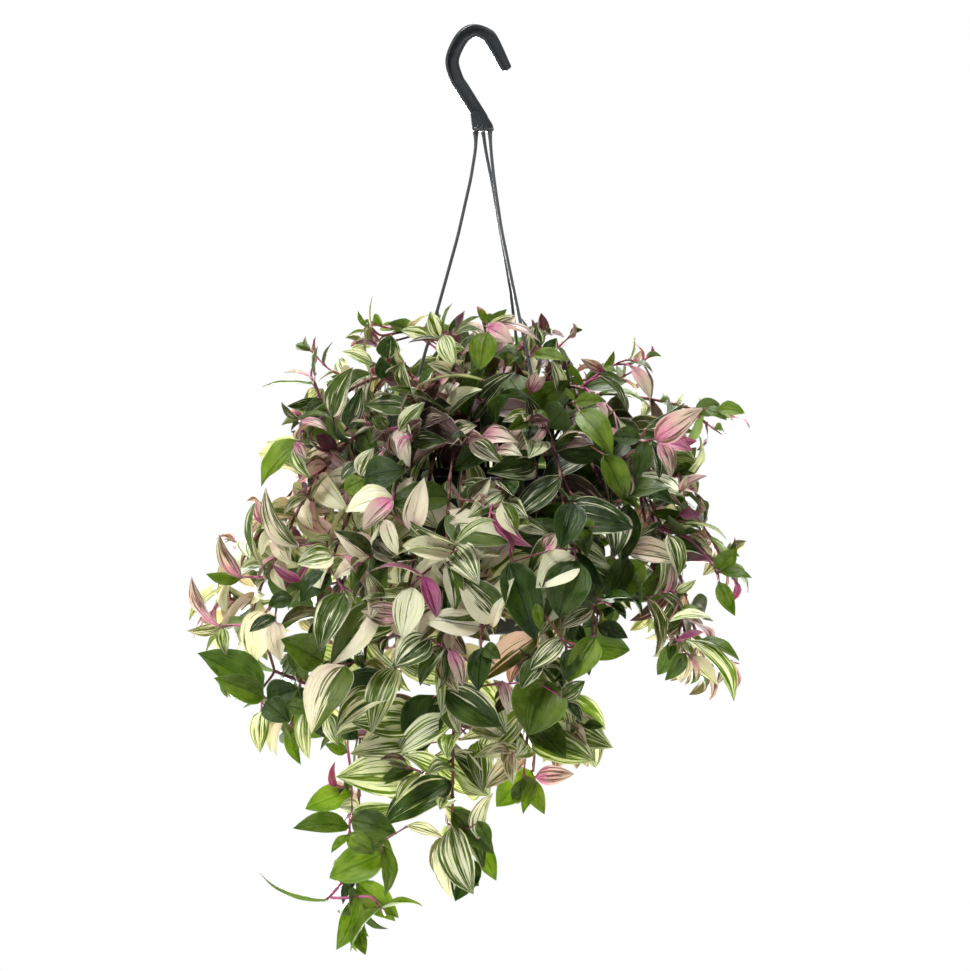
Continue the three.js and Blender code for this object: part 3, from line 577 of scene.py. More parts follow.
def stem_try(stem, attempt):
    """A stem's curve for one try: straight up out of the soil, over an elbow and on to the tip."""
    bearing, rise, elbow_radius, elbow_height, tip_radius, tip_height = stem.row[:6]
    draw = draws_from(STEM_SEED, stem.index, attempt)
    looser = 1 + attempt * STEM_LOOSER
    turn, twist, lift, reach = (swing(draw, width) * looser for width in STEM_SWINGS)
    handle = stem.soil + UP * (rise + lift)
    elbow = polar(elbow_radius + reach, bearing + twist, elbow_height + lift)
    return stem.soil, handle, elbow, polar(tip_radius + reach * 0.4, bearing + turn, tip_height)


def stem_marks(stem, controls):
    """The corners of a stem's faceted solid."""
    marks = []
    for k in range(STEM_STEPS + 1):
        share = k / STEM_STEPS
        run = heading(controls, share)
        across = square_to(polar(1, stem.slot_bearing + 90), run)
        along = np.cross(run, across)
        radius = STEM_RADIUS["root"] + (STEM_RADIUS["tip"] - STEM_RADIUS["root"]) * share
        for turn in 2 * np.pi * np.arange(STEM_SIDES) / STEM_SIDES:
            offset = across * math.cos(turn) + along * math.sin(turn)
            marks.append(on_curve(controls, share) + offset * radius)
    return marks


def corner_tree(name):
    """A search tree of a node's corners, in the pot's own frame."""
    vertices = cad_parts[name].data.vertices
    tree = KDTree(len(vertices))
    for i, vertex in enumerate(vertices):
        tree.insert(np.array(vertex.co) / MM - POT_SHIFT, i)
    tree.balance()
    return tree


def found_in(tree, marks):
    """Whether most of these places are corners of the solid."""
    return sum(tree.find(mark)[2] < MATCH for mark in marks) > len(marks) / 2


def find_stem(stem):
    """The try that the solid was made from, with its line of straight pieces."""
    stem.tree = corner_tree(stem.name)
    for attempt in range(STEM_TRIES):
        controls = stem_try(stem, attempt)
        if found_in(stem.tree, stem_marks(stem, controls)):
            stem.controls = controls
            stem.points = [on_curve(controls, k / STEM_STEPS) for k in range(STEM_STEPS + 1)]
            return
    raise RuntimeError(f"{stem.name} follows none of its tries")


def place_on(stem, back):
    """The seat at a distance back from the tip, and the way that the stem runs there."""
    left = back
    for k in range(STEM_STEPS, 0, -1):
        span = np.linalg.norm(stem.points[k] - stem.points[k - 1])
        if left <= span or k == 1:
            share = min(1, left / span)
            seat = stem.points[k] * (1 - share) + stem.points[k - 1] * share
            return seat, heading(stem.controls, (k - share) / STEM_STEPS)
        left -= span


def leaf_place(j):
    return LEAF_FIRST + LEAF_SPACING * j + LEAF_SPREAD * j * j


def leaf_axes(seat, run, rank, spread, pitch, roll):
    """The way a leaf points, and the way it faces: outwards, upwards and a little along its stem."""
    ahead = run * math.cos(spread) + rank * math.sin(spread)
    face = square_to(outward_at(seat) * 0.75 + UP * 0.65 + run * 0.2, ahead)
    lean = np.cross(ahead, face)
    ahead = turned(ahead, lean, pitch)
    return {"seat": seat, "ahead": ahead, "face": turned(turned(face, lean, pitch), ahead, roll)}


def leaf_try(stem, j, attempt):
    """A leaf of the solids, for one try."""
    draw = draws_from(LEAF_SEED, stem.index, j, attempt)

    def drawn(name):
        least, rest = LEAF_RANGES[name]
        return least + rest * draw()

    seat, run = place_on(stem, leaf_place(j))
    young = max(0, 1 - j / LEAF_GROWN)
    looser = 1 + LEAF_LOOSER * attempt
    rank_turn = math.radians(swing(draw, LEAF_SWINGS["rank"]))
    spread = math.radians(64 - 30 * young + swing(draw, LEAF_SWINGS["spread"]))
    pitch = math.radians(6 + swing(draw, LEAF_SWINGS["pitch"]) * looser)
    roll = math.radians(swing(draw, LEAF_SWINGS["roll"]) * looser)
    size = stem.grown * (1 - 0.5 * young) * drawn("size")
    rank = turned(square_to(polar(1, stem.row[0] + 90), run), run, rank_turn) * (1 if j % 2 == 0 else -1)
    return SimpleNamespace(**leaf_axes(seat, run, rank, spread, pitch, roll), size=size,
                           width=size * drawn("width"), bend=math.radians(drawn("bend")),
                           fold=math.radians(drawn("fold")), young=young, back=leaf_place(j), look=None)


def outline(share):
    """The blade's half width as a share of its greatest."""
    return np.sin(np.pi * np.clip(share, 0, 1) ** 0.75) ** 0.85


def blade_curve(leaf, share):
    """Where the middle of a bent blade runs, and the way that its upper face looks there."""
    reach = leaf.size / leaf.bend
    turn = leaf.bend * share
    centre = leaf.seat + leaf.ahead * reach * np.sin(turn) - leaf.face * reach * (1 - np.cos(turn))
    return centre, leaf.face * np.cos(turn) + leaf.ahead * np.sin(turn)


def leaf_marks(leaf):
    """The outer corners of a leaf's faceted blade, and its tip."""
    right = np.cross(leaf.ahead, leaf.face)
    marks = [blade_curve(leaf, 1)[0]]
    for share in (LARGE_STATIONS if leaf.size > LARGE_LEAF else SMALL_STATIONS):
        centre, normal = blade_curve(leaf, share)
        half = outline(share) * leaf.width / 2
        rib = normal * LEAF_RIB * (1 - 0.6 * share) / 2
        raised = centre + normal * half * math.tan(leaf.fold)
        marks += [raised - right * half, raised + right * half, centre + rib, centre - rib]
    return marks


def find_leaves(stem):
    """Every leaf of a stem's solid, from the try that it was made from."""
    stem.leaves = []
    length = sum(np.linalg.norm(b - a) for a, b in zip(stem.points, stem.points[1:]))
    j = 0
    while leaf_place(j) <= length - LEAF_BARE:
        tries = (leaf_try(stem, j, attempt) for attempt in range(LEAF_TRIES))
        found = next((leaf for leaf in tries if found_in(stem.tree, leaf_marks(leaf))), None)
        if found:
            stem.leaves.append(found)
        j += 1


# Surfaces: the points, four-sided faces and paint of a piece, gathered before its mesh is made.

class Surface:
    def __init__(self):
        self.parts = []
        self.count = 0

    def add(self, points, faces, skin=0, uv=None, pattern=(0, 0, 0), growth=(0, 0, 0), smooth=True):
        """Adds points and faces. Skin and smooth are for all the faces; pattern and growth are paint."""
        number = len(points)
        self.parts.append({
            "points": np.asarray(points, float),
            "faces": np.asarray(faces, int) + self.count,
            "skin": np.full(len(faces), skin),
            "smooth": np.full(len(faces), smooth),
            "uv": np.zeros((number, 2)) if uv is None else uv,
            "pattern": np.broadcast_to(np.asarray(pattern, float), (number, 3)),
            "growth": np.broadcast_to(np.asarray(growth, float), (number, 3)),
        })
        self.count += number

    def joined(self, key, kind=np.float32):
        return np.concatenate([part[key] for part in self.parts]).astype(kind)

    def piece(self, name, materials, shift=0.0):
        """Makes the object. It sits at the origin, with its place in its mesh."""
        mesh = bpy.data.meshes.new(name)
        faces = self.joined("faces", np.int32)
        corners = faces.ravel()
        points = (self.joined("points", float) + shift) * MM
        mesh.vertices.add(self.count)
        mesh.vertices.foreach_set("co", points.astype(np.float32).ravel())
        mesh.loops.add(len(corners))
        mesh.loops.foreach_set("vertex_index", corners)
        mesh.polygons.add(len(faces))
        mesh.polygons.foreach_set("loop_start", np.arange(0, len(corners), 4, dtype=np.int32))
        mesh.polygons.foreach_set("material_index", self.joined("skin", np.int32))
        mesh.polygons.foreach_set("use_smooth", self.joined("smooth", bool))
        mesh.uv_layers.new(name="across_along").data.foreach_set("uv", self.joined("uv")[corners].ravel())
        for key in ("pattern", "growth"):
            paint = mesh.attributes.new(key, "FLOAT_VECTOR", "POINT")
            paint.data.foreach_set("vector", self.joined(key).ravel())
        mesh.update(calc_edges=True)
        mesh.validate()
        for material in materials:
            mesh.materials.append(material)
        made = bpy.data.objects.new(name, mesh)
        bpy.context.scene.collection.objects.link(made)
        return made


def stand_for(made, node):
    """Puts a piece on the part's one body, in the place of a node."""
    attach(made, "root")
    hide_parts(node)


def grid_faces(rows, columns, wrapped=False):
    """Faces between rows of points, with the last column joined to the first where wrapped."""
    spans = columns if wrapped else columns - 1
    i, j = np.meshgrid(np.arange(rows - 1), np.arange(spans), indexing="ij")
    a, b = i * columns + j, i * columns + (j + 1) % columns
    return np.stack([a, b, b + columns, a + columns], axis=-1).reshape(-1, 4)


def cap_faces(first, sides):
    """Faces over a ring of an even number of points."""
    return np.array([(first, first + k, first + k + 1, first + k + 2) for k in range(1, sides - 1, 2)])


def rim_faces(rows, columns):
    """Faces round the edge of two sheets of points, the lower sheet's points after the upper one's."""
    under = rows * columns
    left = np.arange(rows) * columns
    right = left + columns - 1
    first = np.arange(columns)
    last = (rows - 1) * columns + first
    return np.concatenate([
        np.stack([right[:-1], right[:-1] + under, right[1:] + under, right[1:]], axis=1),
        np.stack([left[1:], left[1:] + under, left[:-1] + under, left[:-1]], axis=1),
        np.stack([last[:-1], last[1:], last[1:] + under, last[:-1] + under], axis=1),
        np.stack([first[1:], first[:-1], first[:-1] + under, first[1:] + under], axis=1),
    ])


def skin_over(surface, rings, **paint):
    """A closed skin over a list of rings, each with the same even number of points."""
    rings = np.asarray(rings)
    rows, sides = rings.shape[:2]
    ends = [cap_faces(0, sides)[:, ::-1], cap_faces((rows - 1) * sides, sides)]
    surface.add(rings.reshape(-1, 3), np.concatenate([grid_faces(rows, sides, wrapped=True), *ends]), **paint)


def places_along(points):
    """How far along a line each of its points is."""
    return np.concatenate([[0], np.cumsum(np.linalg.norm(np.diff(points, axis=0), axis=1))])


def resampled(points, step):
    points = np.asarray(points, float)
    places = places_along(points)
    wanted = np.linspace(0, places[-1], max(4, int(places[-1] / step)) + 1)
    return np.stack([np.interp(wanted, places, points[:, i]) for i in range(3)], axis=1)


def smoothed(points, passes):
    points = points.copy()
    for _ in range(passes):
        points[1:-1] = (points[:-2] + 2 * points[1:-1] + points[2:]) / 4
    return points


def runs_along(line):
    """The way that a line runs at each point."""
    runs = np.gradient(line, axis=0)
    return runs / np.linalg.norm(runs, axis=1)[:, None]


def circle(around):
    """The cosines and sines of even steps round a circle."""
    angles = 2 * np.pi * np.arange(around) / around
    return np.cos(angles), np.sin(angles)


def tube_rings(line, first_across, radii, around):
    """Rings round a line, each turned as little as it can be from the one before."""
    runs = runs_along(line)
    across = np.empty_like(runs)
    across[0] = square_to(first_across, runs[0])
    for k in range(1, len(line)):
        across[k] = square_to(across[k - 1], runs[k])
    along = np.cross(runs, across)
    radii = np.asarray(radii, float).reshape(len(line), -1)
    cos, sin = circle(around)
    return (line[:, None, :] + across[:, None, :] * (radii[:, :1] * cos)[:, :, None]
            + along[:, None, :] * (radii[:, -1:] * sin)[:, :, None])


def upright(surface, place, rows, around, first_across=ACROSS, skin=0):
    """A round piece that stands at a place: rows of a height over it and a radius."""
    line = np.array([np.array(place) + UP * height for height, _ in rows])
    skin_over(surface, tube_rings(line, first_across, [radius for _, radius in rows], around), skin=skin)


# Foliage.

def branch_from(line, thick, kind, grown):
    """A stem or side shoot: its line from its root to its tip, and what grows on it."""
    places = places_along(line)
    share = places / places[-1]
    return SimpleNamespace(line=line, runs=runs_along(line), backs=places[-1] - places, kind=kind,
                           grown=grown, thick=thick[0] + (thick[1] - thick[0]) * share, share=share,
                           length=places[-1], leaves=[], rooted=False)


def point_back(branch, back):
    """The index of a branch's point nearest to a distance back from its tip."""
    return int(np.argmin(np.abs(branch.backs - back)))


def stem_branch(stem):
    root = stem.soil - UP * ROOT_DEPTH
    line = smoothed(resampled([root] + stem.points, LINE_STEP), 12)
    branch = branch_from(line, STEM_THICK, stem.kind, stem.grown)
    branch.leaves = stem.leaves
    branch.bearing = stem.row[0]
    branch.rooted = True
    return branch


def blade_middle(leaf, stations, across):
    """The blade's middle surface, its middle line, the ways it faces and spreads, and its half widths."""
    s, u = stations[:, None, None], across[None, :, None]
    centre, normal = blade_curve(leaf, s)
    right = np.cross(leaf.ahead, leaf.face)
    half = outline(s) * leaf.width / 2
    lift = half * math.tan(leaf.fold) * np.abs(u) ** 1.4
    return centre + right * (half * u) + normal * lift, centre, normal, right, half


def blade_points(leaf, first, edge):
    """Places all over a blade, from a share of its length on and out to a share of its width."""
    return blade_middle(leaf, np.linspace(first, 1, 7), np.linspace(-edge, edge, 5))[0].reshape(-1, 3)


def in_clearing(points):
    """Whether any of these places is seen inside a part of the view that stays open."""
    across, down = seen_at(points + POT_SHIFT)
    return any((((across - x) / wide) ** 2 + ((down - y) / high) ** 2).min() < 1
               for x, y, wide, high in CLEARINGS)


def cells_of(points):
    return {tuple(cell) for cell in np.floor(points / CROWD_CELL).astype(int)}


class Crowd:
    """Cells of space that leaves and stems already take, for telling a clear try from a crowded one."""

    def __init__(self):
        self.taken = {}

    def take(self, points, weight):
        for cell in cells_of(points):
            self.taken[cell] = self.taken.get(cell, 0) + weight

    def add_leaf(self, leaf):
        self.take(blade_points(leaf, 0.25, 0.9), 1)

    def add_line(self, line):
        self.take(line, 2)

    def fullness(self, points, cells, room=0.0):
        """How full some cells are, or more where the points reach too far out or into a clearing."""
        outside = np.maximum(points + POT_SHIFT - REACH[1], REACH[0] - points - POT_SHIFT).max() + room
        if outside > 0 or in_clearing(points):
            return BARRED + max(outside, 0)
        return sum(self.taken.get(cell, 0) for cell in cells) / len(cells)

    def round_leaf(self, leaf):
        points = blade_points(leaf, 0.25, 0.9)
        return self.fullness(points, cells_of(points))

    def round_line(self, line):
        return self.fullness(line, cells_of(line[SHOOT_START:]), SHOOT_ROOM)


def new_leaf(branch, back, side, draw, size, spread, fold, bend, pitch):
    """A leaf that only the fine foliage has, on one side of its branch."""
    k = point_back(branch, back)
    run = branch.runs[k]
    rank = square_to(turned(side, run, math.radians(between(draw, *LEAF_TURNS))), run)
    roll = math.radians(between(draw, *LEAF_ROLLS))
    axes = leaf_axes(branch.line[k], run, rank, math.radians(spread), math.radians(pitch), roll)
    return SimpleNamespace(**axes, size=size, width=size * between(draw, *LEAF_WIDTHS),
                           bend=math.radians(bend), fold=math.radians(fold), back=back,
                           young=max(0, 1 - back / YOUNG_WITHIN), look=None)


def drawn_leaf(branch, back, side, draw, ranges):
    """A new leaf with its size, spread, fold, bend and pitch drawn from their ranges."""
    share, *angles = (between(draw, *limits) for limits in ranges)
    return new_leaf(branch, back, side, draw, branch.grown * share, *angles)


def keep_clearest(branch, crowd, tries, most):
    """The least crowded of several tries, if it is clear enough."""
    best = min(tries, key=crowd.round_leaf)
    if crowd.round_leaf(best) <= most:
        crowd.add_leaf(best)
        branch.leaves.append(best)


def grow_rosette(branch, crowd, draw):
    """Small folded leaves that clasp the tip."""
    def drawn(name):
        return between(draw, *ROSETTE_RANGES[name])

    count, most = ROSETTE_TRIES
    side = square_to(np.array([swing(draw, 1) for _ in range(3)]), branch.runs[-1])
    for back, size, spread, fold in ROSETTE:
        scale = min(1.15, branch.grown / 50) * drawn("scale")
        tries = [new_leaf(branch, back, side, draw, size * scale, spread + drawn("spread"), fold,
                          drawn("bend"), drawn("pitch")) for _ in range(count)]
        keep_clearest(branch, crowd, tries, most)
        side = -side


def grow_between(branch, crowd, draw):
    """Leaves between those of the solids, turned to the stem's upper and lower sides."""
    count, most = BETWEEN_TRIES
    j = 1.5
    while leaf_place(j) <= branch.length - LEAF_BARE - ROOT_DEPTH:
        back = leaf_place(j)
        run = branch.runs[point_back(branch, back)]
        upper = turned(square_to(polar(1, branch.bearing + 90), run), run, math.radians(70))
        for side in (upper, -upper):
            tries = [drawn_leaf(branch, back, side, draw, BETWEEN_LEAVES) for _ in range(count)]
            keep_clearest(branch, crowd, tries, most)
        j += 1


def shoot_line(branch, back, draw):
    """One try of a short side shoot's line, which rises a little as it leaves its stem."""
    k = point_back(branch, back)
    start, run = branch.line[k], branch.runs[k]
    sideways = square_to(np.cross(run, UP) if abs(run[2]) < 0.98 else ACROSS, run)
    side = turned(sideways, run, math.radians(between(draw, *SHOOT_TURNS))) * (1 if draw() < 0.5 else -1)
    outward = outward_at(start)
    length = between(draw, *SHOOT_LENGTHS)
    first = unit(run * between(draw, *SHOOT_AHEAD) + side * 0.8 + outward * 0.3)
    second = unit(first + UP * between(draw, *SHOOT_RISES) + outward * between(draw, *SHOOT_OUT))
    middle = start + first * length * 0.45
    return smoothed(resampled([start, middle, middle + second * length * 0.55], 2.0), 8), side, length


def grow_shoot(branch, back, crowd, draw):
    """A side shoot with a few leaves and a rosette, or nothing where there is no room."""
    count, most = SHOOT_TRIES
    tries = [shoot_line(branch, back, draw) for _ in range(count)]
    line, side, length = min(tries, key=lambda found: crowd.round_line(found[0]))
    if crowd.round_line(line) > SHOOT_CROWDED:
        return []
    crowd.add_line(line[SHOOT_START:])
    shoot = branch_from(line, SHOOT_THICK, branch.kind, branch.grown)
    grow_rosette(shoot, crowd, draw)
    place = SHOOT_FIRST
    flip = 1
    while place < length - 4:
        run = shoot.runs[point_back(shoot, place)]
        turn = turned(square_to(side + UP * 0.2, run), run, math.radians(90)) * flip
        tries = [drawn_leaf(shoot, place, turn, draw, SHOOT_LEAVES) for _ in range(count)]
        keep_clearest(shoot, crowd, tries, most)
        flip = -flip
        place += between(draw, *SHOOT_STEPS)
    return [shoot]


class Seen:
    """Where the branches and blades are seen, for setting what the photograph shows on and before them."""

    def __init__(self):
        self.branches = []
        self.blades = []

    def add_branch(self, branch, home):
        self.branches.append((branch, home, *seen_at(branch.line + POT_SHIFT)))

    def add_leaf(self, leaf):
        points = blade_points(leaf, 0.1, 0.9)
        self.blades.append(np.stack([*seen_at(points + POT_SHIFT), points[:, 1]]))

    def nearest(self, x, y):
        """The point of a branch seen nearest to a pixel: in front if it can be, and not in the soil."""
        found = None
        for branch, home, across, down in self.branches:
            gaps = np.hypot(across - x, down - y)
            buried = branch.rooted * (branch.line[:, 2] < -SOIL_EDGE_DEPTH)
            costs = gaps + FRONT_FIRST * branch.line[:, 1] + BURIED * buried
            k = int(np.argmin(costs))
            if found is None or costs[k] < found[0]:
                found = costs[k], branch, home, k, gaps[k]
        return found[1:]

    def front(self, base, tip):
        """The depth of the blades that stand foremost about the line between two pixels."""
        x, y, depth = np.concatenate(self.blades, axis=1)
        way = np.subtract(tip, base)
        share = np.clip(((x - base[0]) * way[0] + (y - base[1]) * way[1]) / (way @ way), 0, 1)
        near = np.hypot(x - base[0] - share * way[0], y - base[1] - share * way[1]) < SEEN_RADIUS
        return depth[near].min(initial=np.inf)


def add_shoot(seen, home, line, thick, kind, grown):
    shoot = branch_from(smoothed(resampled(line, 1.5), 6), thick, kind, grown)
    home.append(shoot)
    seen.add_branch(shoot, home)
    return shoot


def set_twig(seen, pixels):
    """A twig from the nearest stem, through the pixels that it is seen at."""
    branch, home, k, _ = seen.nearest(*pixels[0])
    line = [branch.line[k]]
    for number, (x, y) in enumerate(pixels[1:], start=1):
        line.append(place_seen_at(x, y, line[0][1] - SEEN_LEAN * number))
    add_shoot(seen, home, line, TWIG_THICK, branch.kind, TWIG_GROWN)


def leaf_between(base, tip, width, look, draw):
    """A leaf that curves from its base to its tip, turned aside where it is seen narrower than it grows."""
    reach = np.linalg.norm(tip - base)
    along = (tip - base) / reach
    bend = math.radians(between(draw, *SEEN_BENDS))
    outward = outward_at(base)
    face = square_to(np.array([0.0, -0.8, 0.4]) + outward * 0.3, along)
    turn = min(math.acos(min(1, abs(width) / (SEEN_WIDTH * reach))), math.radians(SEEN_TURN))
    lower, upper = sorted((turned(face, along, turn * sign) for sign in (1, -1)),
                          key=lambda side: side @ (UP + outward * 0.7))
    face = upper if draw() < SEEN_UPPER else lower
    face = turned(face, along, math.radians(between(draw, *SEEN_ROLLS))) * math.copysign(1, width)
    cos, sin = math.cos(bend / 2), math.sin(bend / 2)
    return SimpleNamespace(seat=base, ahead=along * cos + face * sin,
                           face=face * cos - along * sin, size=reach * bend / 2 / sin,
                           width=abs(width) / math.cos(turn), bend=bend,
                           fold=math.radians(between(draw, *SEEN_FOLDS)), back=0.3, look=look,
                           young=0.5 if look in ("pink", "blush") else 0.0)


def set_leaf(seen, row, crowd, draw):
    """A leaf at the pixels that it is seen at, on the nearest branch or on a short stalk from it."""
    x, y, tip_x, tip_y, width, look = row
    branch, home, k, gap = seen.nearest(x, y)
    start = branch.line[k]
    foremost = REACH[0][1]
    before = max(seen.front((x, y), (tip_x, tip_y)) - SEEN_OVER, start[1] - SEEN_MOST)
    depth = max(min(start[1] - SEEN_LEAST, before), foremost + SEEN_INSIDE)
    ahead = between(draw, *SEEN_TILT) * math.hypot(tip_x - x, tip_y - y) * MM_PER_PIXEL
    base = place_seen_at(x, y, depth)
    tip = place_seen_at(tip_x, tip_y, max(depth - ahead, foremost + 1))
    leaf = leaf_between(base, tip, width * MM_PER_PIXEL, look, draw)
    base = base + AWAY * max(0.0, foremost - blade_points(leaf, 0, 1)[:, 1].min())
    leaf.seat = base
    if gap < SEEN_JOINED and start[1] - base[1] < SEEN_JOINED:
        leaf.back = branch.backs[k]
        branch.leaves.append(leaf)
    else:
        gone = np.linalg.norm(base - start)
        k = point_back(branch, branch.backs[k] + gone * STALK_RISE)
        middle = branch.line[k] + branch.runs[k] * STALK_AHEAD * gone
        stalk = add_shoot(seen, home, [branch.line[k], middle, base], SHOOT_THICK, branch.kind, leaf.size)
        stalk.leaves.append(leaf)
    seen.add_leaf(leaf)
    crowd.add_leaf(leaf)


def grow_foliage(stems):
    """Every stem's branches, itself first: what the photograph shows, and then what fills it out."""
    crowd = Crowd()
    seen = Seen()
    for stem in stems:
        stem.branches = [stem_branch(stem)]
        crowd.add_line(stem.branches[0].line)
        seen.add_branch(stem.branches[0], stem.branches)
        for leaf in stem.leaves:
            crowd.add_leaf(leaf)
            seen.add_leaf(leaf)
    for pixels in TWIGS:
        set_twig(seen, pixels)
    draw = draws_from(SEEN_SEED)
    for row in SEEN_LEAVES:
        set_leaf(seen, row, crowd, draw)
    for stem in stems:
        main = stem.branches[0]
        draw = draws_from(GROWTH_SEED, stem.index)
        grow_rosette(main, crowd, draw)
        for back in SHOOT_PLACES:
            if back < main.length - LEAF_BARE - ROOT_DEPTH - 8:
                stem.branches += grow_shoot(main, back + between(draw, *SHOOT_SHIFTS), crowd, draw)
        grow_between(main, crowd, draw)


def blade_sheets(leaf, branch, draw, stations, across):
    """The upper and lower faces: a keel, soft waves, a slight twist and a base that clasps the stem."""
    s, u = stations[:, None, None], across[None, :, None]
    _, centre, normal, right, half = blade_middle(leaf, stations, across)
    k = int(np.argmin(np.linalg.norm(branch.line - leaf.seat, axis=1)))
    centre = centre + (branch.line[k] - leaf.seat) * (1 - s) ** 4
    half = half * (1 - 0.16 * np.clip((s - 0.72) / 0.28, 0, 1) ** 1.5) * (1 + 0.05 * u * (draw() - 0.5))
    near = np.clip(1 - s / CLASP_REACH, 0, 1)
    clasp = branch.thick[k] * BLADE_CLASP
    half = np.maximum(half, clasp * near + 0.12)
    twist = math.radians(between(draw, *BLADE_TWISTS)) * s ** 1.5
    side = right * np.cos(twist) + normal * np.sin(twist)
    up = normal * np.cos(twist) - right * np.sin(twist)
    phase = draw()
    ripple = between(draw, *BLADE_RIPPLES) * leaf.width * np.abs(u) ** 2.2
    wave = np.sin(2 * np.pi * (between(draw, *BLADE_WAVES) * s + phase + 0.25 * (u > 0)))
    lift = half * math.tan(leaf.fold) * np.abs(u) ** 1.4 + ripple * wave * np.sin(np.pi * s)
    lift = lift + clasp * near * u ** 2
    curl = between(draw, *BLADE_CURLS) * leaf.size * np.clip(s - 0.6, 0, 1) ** 2 * 4
    middle = centre + side * (half * u) + up * (lift - curl)
    facing = np.cross(np.gradient(middle, axis=1), np.gradient(middle, axis=0))
    facing /= np.maximum(np.linalg.norm(facing, axis=2, keepdims=True), 1e-9)
    thick = BLADE_THICK * (1 - 0.6 * np.abs(u) ** 3) * (1 - 0.45 * s)
    keel = BLADE_KEEL * np.exp(-((u / 0.12) ** 2)) * (1 - s)
    lower = middle - facing * (thick / 2 + keel)
    return (middle + facing * thick / 2).reshape(-1, 3), lower.reshape(-1, 3)


def fine_blade(surface, leaf, branch, draw, look):
    """A blade of even thickness, with finer steps the larger it is."""
    rows, columns = next(steps for least, *steps in BLADE_STEPS if leaf.size > least)
    stations = np.linspace(0, 1, rows) ** 0.9
    across = np.linspace(-1, 1, columns)
    top, bottom = blade_sheets(leaf, branch, draw, stations, across)
    uv = np.stack(np.broadcast_arrays((across[None, :] + 1) / 2, stations[:, None]), axis=-1).reshape(-1, 2)
    faces = grid_faces(rows, columns)
    paint = {"pattern": look.pattern, "growth": look.growth}
    surface.add(top, faces, skin=1, uv=uv, **paint)
    surface.add(bottom, faces[:, ::-1], skin=2, uv=uv, **paint)
    surface.add(np.concatenate([top, bottom]), rim_faces(rows, columns), skin=1,
                uv=np.concatenate([uv, uv]), smooth=False, **paint)


def sheath(surface, leaf, branch, look):
    """The short tube that each leaf's base makes round the stem."""
    k = int(np.argmin(np.linalg.norm(branch.line - leaf.seat, axis=1)))
    back = branch.backs[k]
    low = min(branch.length, back + SHEATH_LENGTH * min(1, leaf.size / 40))
    rows = len(SHEATH_SWELLS)
    places = np.linspace(low, max(0.3, back - 1.2), rows)
    line = np.stack([np.interp(-places, -branch.backs, branch.line[:, i]) for i in range(3)], axis=1)
    radii = branch.thick[k] + np.array(SHEATH_SWELLS)
    rings = tube_rings(line, square_to(leaf.ahead, branch.runs[k]), radii, SHEATH_AROUND)
    uv = np.stack([np.linspace(0, 1, SHEATH_AROUND), np.full(SHEATH_AROUND, 0.02)], axis=1)
    skin_over(surface, rings, uv=np.tile(uv, (rows, 1)), pattern=(0, 1, 0), growth=look.growth)


def stem_skin(surface, branch, seed):
    """The stem itself, swollen a little where each leaf sits, with its tip drawn in."""
    nodes = np.array([leaf.back for leaf in branch.leaves] + [np.inf])
    gap = np.abs(branch.backs[:, None] - nodes).min(axis=1)
    swell = np.exp(-((gap / NODE_REACH) ** 2))
    radii = branch.thick * (1 + NODE_SWELL * swell)
    radii[-1] *= 0.3
    rings = tube_rings(branch.line, np.array([0.3, 0.2, 0.9]), radii, STEM_AROUND)
    round_it = np.tile(np.arange(STEM_AROUND) / STEM_AROUND, len(radii))
    age = branch.share ** 1.5 if branch.rooted else 0.45 + 0.55 * branch.share
    values = (branch.share, swell, np.zeros_like(age), age, np.full_like(age, seed))
    share, swell, none, age, seed = (np.repeat(value, STEM_AROUND) for value in values)
    skin_over(surface, rings, uv=np.stack([round_it, share], axis=1),
              pattern=np.stack([swell, none, none], axis=1), growth=np.stack([age, share, seed], axis=1))


# How leaves of each look are painted: ranges of the share of cream, of how far it leans to one side, of
# pink, and of the green's tone from dark to fresh.
LOOKS = {
    "striped": ((0.36, 0.56), (0.36, 0.64), (0.0, 0.1), (0.25, 0.8)),
    "pale": ((0.42, 0.6), (0.44, 0.56), (0.0, 0.0), (0.6, 1.0)),
    "lined": ((0.12, 0.3), (0.4, 0.6), (0.0, 0.4), (0.0, 0.4)),
    "green": ((-0.5, -0.3), (0.48, 0.52), (0.0, 0.0), (0.3, 0.7)),
    "dark": ((-0.5, -0.3), (0.48, 0.52), (0.0, 0.0), (0.0, 0.2)),
    "fresh": ((-0.5, -0.3), (0.48, 0.52), (0.0, 0.0), (0.8, 1.0)),
    "cream": ((0.85, 1.1), (0.3, 0.7), (0.0, 0.3), (0.3, 0.8)),
    "half": ((0.42, 0.58), (0.0, 0.12), (0.0, 0.25), (0.1, 0.6)),
    "pink": ((0.5, 0.9), (0.3, 0.7), (0.5, 1.0), (0.1, 0.6)),
    "blush": ((0.45, 0.6), (0.4, 0.6), (0.8, 1.0), (0.2, 0.6)),
    "plum": ((0.0, 0.25), (0.4, 0.6), (0.7, 0.9), (0.0, 0.1)),
    "magenta": ((0.45, 0.7), (0.3, 0.7), (1.0, 1.0), (0.1, 0.4)),
}
YOUNG_LOOKS = {"plum": 0.5, "magenta": 1.5}
MIXTURES = {
    "striped": ("striped", "striped", "striped", "pale", "lined", "half", "green"),
    "green": ("green", "green", "dark", "fresh", "lined", "striped"),
    "cream": ("cream", "cream", "half", "striped", "pale"),
    "half": ("half", "half", "striped", "cream", "lined"),
    "pink": ("pink", "striped", "lined", "half", "green"),
}
